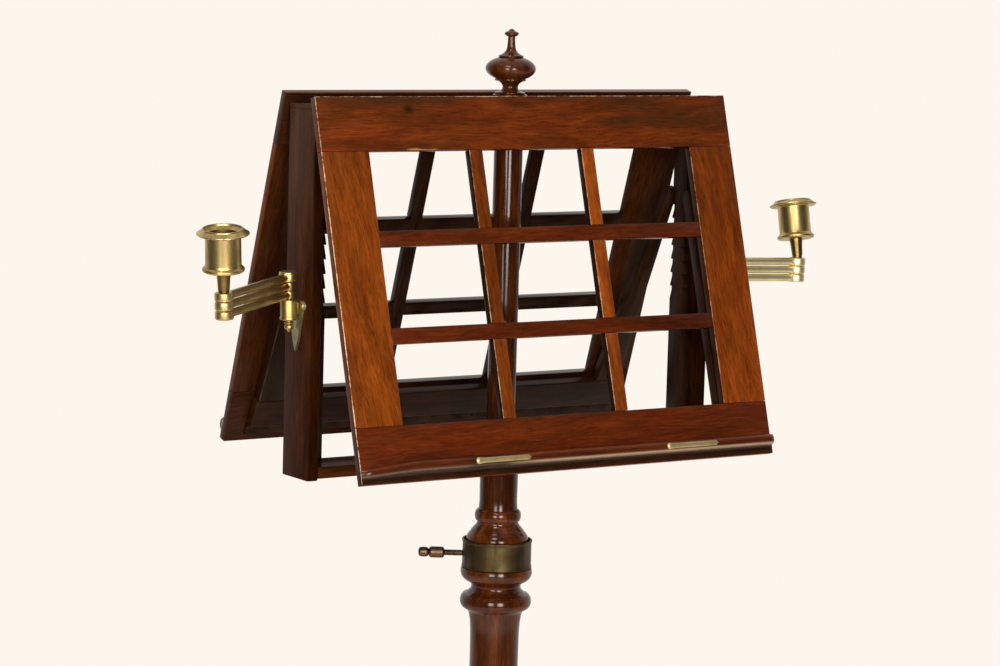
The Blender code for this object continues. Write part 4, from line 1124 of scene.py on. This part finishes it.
def screws(body, places, tree, finish):
    """Heads on the points of one body, made a plain mesh."""
    material, slot = finish
    name = f"{body}_screws"
    mesh = bpy.data.meshes.new(name + "_points")
    mesh.from_pydata([place for place, _, _, _ in places], [], [])
    for label, kind in (("facing", "FLOAT_VECTOR"), ("size", "FLOAT"), ("turn", "FLOAT")):
        mesh.attributes.new(label, kind, "POINT")
    for index, (_, way, scale, angle) in enumerate(places):
        mesh.attributes["facing"].data[index].vector = way
        mesh.attributes["size"].data[index].value = scale
        mesh.attributes["turn"].data[index].value = angle + 1.7 * index
    carrier = set_down(name + "_points", mesh)
    step = carrier.modifiers.new("screws", "NODES")
    step.node_group = tree
    for item in tree.interface.items_tree:
        if item.in_out == "INPUT" and item.name == "Finish":
            step[item.identifier] = material
    made = bpy.data.meshes.new_from_object(carrier.evaluated_get(bpy.context.evaluated_depsgraph_get()))
    bpy.data.objects.remove(carrier, do_unlink=True)
    made.name = name
    made.set_sharp_from_angle(angle=math.radians(30))
    heads = set_down(name, made)
    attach(heads, body)


slotted_screws = screw_tree()
SCREW_FINISH = {"desk": IRON, "strut": CLIP, "frame": BRASS}
for body, places in screw_places.items():
    screws(body, places, slotted_screws, SCREW_FINISH[body.split("_")[-1]])


# Floor, light and camera


def floor():
    ground = bmesh.new()
    bmesh.ops.create_circle(ground, cap_ends=True, segments=96, radius=2.2)
    mesh = bpy.data.meshes.new("floor")
    ground.to_mesh(mesh)
    ground.free()
    paint = Finish("pale_floor")
    cloud = paint.noise(paint.add("ShaderNodeTexCoord", {})["Object"], 3.0, 3.0)
    colour = paint.mix(cloud, screen(240, 233, 222), screen(246, 240, 230))
    mesh.materials.append(paint.done({"Base Color": colour, "Roughness": 0.7}))
    made = set_down("floor", mesh)
    made.location = (0, 0, -0.0004)


def studio():
    """A pale backdrop. Its light comes from beyond the stand and above, little from behind the camera."""
    world = bpy.data.worlds.new("studio")
    world.use_nodes = True
    world.node_tree.nodes.clear()

    def add(kind, inputs, **settings):
        return add_node(world.node_tree, kind, inputs, **settings)

    def glow(way, low, high, dim, bright):
        """Light from one way, between two values of how far a ray looks that way."""
        seen = add("ShaderNodeTexCoord", {})["Generated"]
        share = add("ShaderNodeVectorMath", {0: seen, 1: way}, operation="DOT_PRODUCT")["Value"]
        sizes = {0: share, 1: low, 2: high, 3: dim, 4: bright}
        return add("ShaderNodeMapRange", sizes, interpolation_type="SMOOTHSTEP")[0]

    beyond = glow((0.5534, 0.8329, 0.0), -0.05, 0.60, 0.05, 0.80)
    above = glow(UP, 0.50, 0.9, 0.0, 0.65)
    strength = add("ShaderNodeMath", {0: beyond, 1: above}, operation="MAXIMUM")[0]
    lit = add("ShaderNodeBackground", {"Color": (1.0, 0.97, 0.93, 1.0), "Strength": strength})[0]
    seen = add("ShaderNodeBackground", {"Color": screen(253, 246, 237), "Strength": 1.0})[0]
    rays = add("ShaderNodeLightPath", {})
    direct = {0: rays["Is Camera Ray"], 1: rays["Is Transmission Ray"]}
    either = add("ShaderNodeMath", direct, operation="MAXIMUM")[0]
    choice = add("ShaderNodeMixShader", {0: either, 1: lit, 2: seen})[0]
    add("ShaderNodeOutputWorld", {0: choice})
    bpy.context.scene.world = world


def softbox(name, place, aim_height, width, height, power, colour):
    """A soft oblong light, aimed at a height on the stand."""
    lamp = bpy.data.lights.new(name, "AREA")
    lamp.shape = "RECTANGLE"
    lamp.size = width
    lamp.size_y = height
    lamp.energy = power
    lamp.color = colour
    made = set_down(name, lamp)
    made.location = place
    made.rotation_euler = (UP * aim_height - Vector(place)).to_track_quat("-Z", "Y").to_euler()


def photograph_camera():
    """The camera fitted to the photograph."""
    yaw = math.radians(33.602)
    pitch = math.radians(6.916)
    roll = math.radians(1.648)
    flat = Vector((math.sin(yaw), math.cos(yaw), 0))
    right = Vector((math.cos(yaw), -math.sin(yaw), 0))
    ahead = flat * math.cos(pitch) - UP * math.sin(pitch)
    over = UP * math.cos(pitch) + flat * math.sin(pitch)
    camera_x = right * math.cos(roll) + over * math.sin(roll)
    camera_y = over * math.cos(roll) - right * math.sin(roll)
    view = bpy.data.cameras.new("camera")
    view.lens = 116.69
    view.sensor_width = 36.0
    view.sensor_fit = "HORIZONTAL"
    camera = set_down("camera", view)
    placing = Matrix((camera_x, camera_y, -ahead)).transposed().to_4x4()
    placing.translation = (-1.7338, -2.6039, 1.2874)
    camera.matrix_world = placing
    bpy.context.scene.camera = camera


floor()
studio()
softbox("left_softbox", (-2.51, -2.29, 1.35), 1.05, 0.9, 1.5, 52, (0.97, 0.97, 0.96))
softbox("right_softbox", (-1.03, -3.24, 1.40), 1.05, 0.9, 1.6, 80, (1.0, 0.96, 0.90))
softbox("high_softbox", (-1.55, -1.48, 3.50), 0.95, 0.8, 0.5, 25, (1.0, 0.96, 0.92))
photograph_camera()
bpy.context.scene.view_settings.view_transform = "Standard"
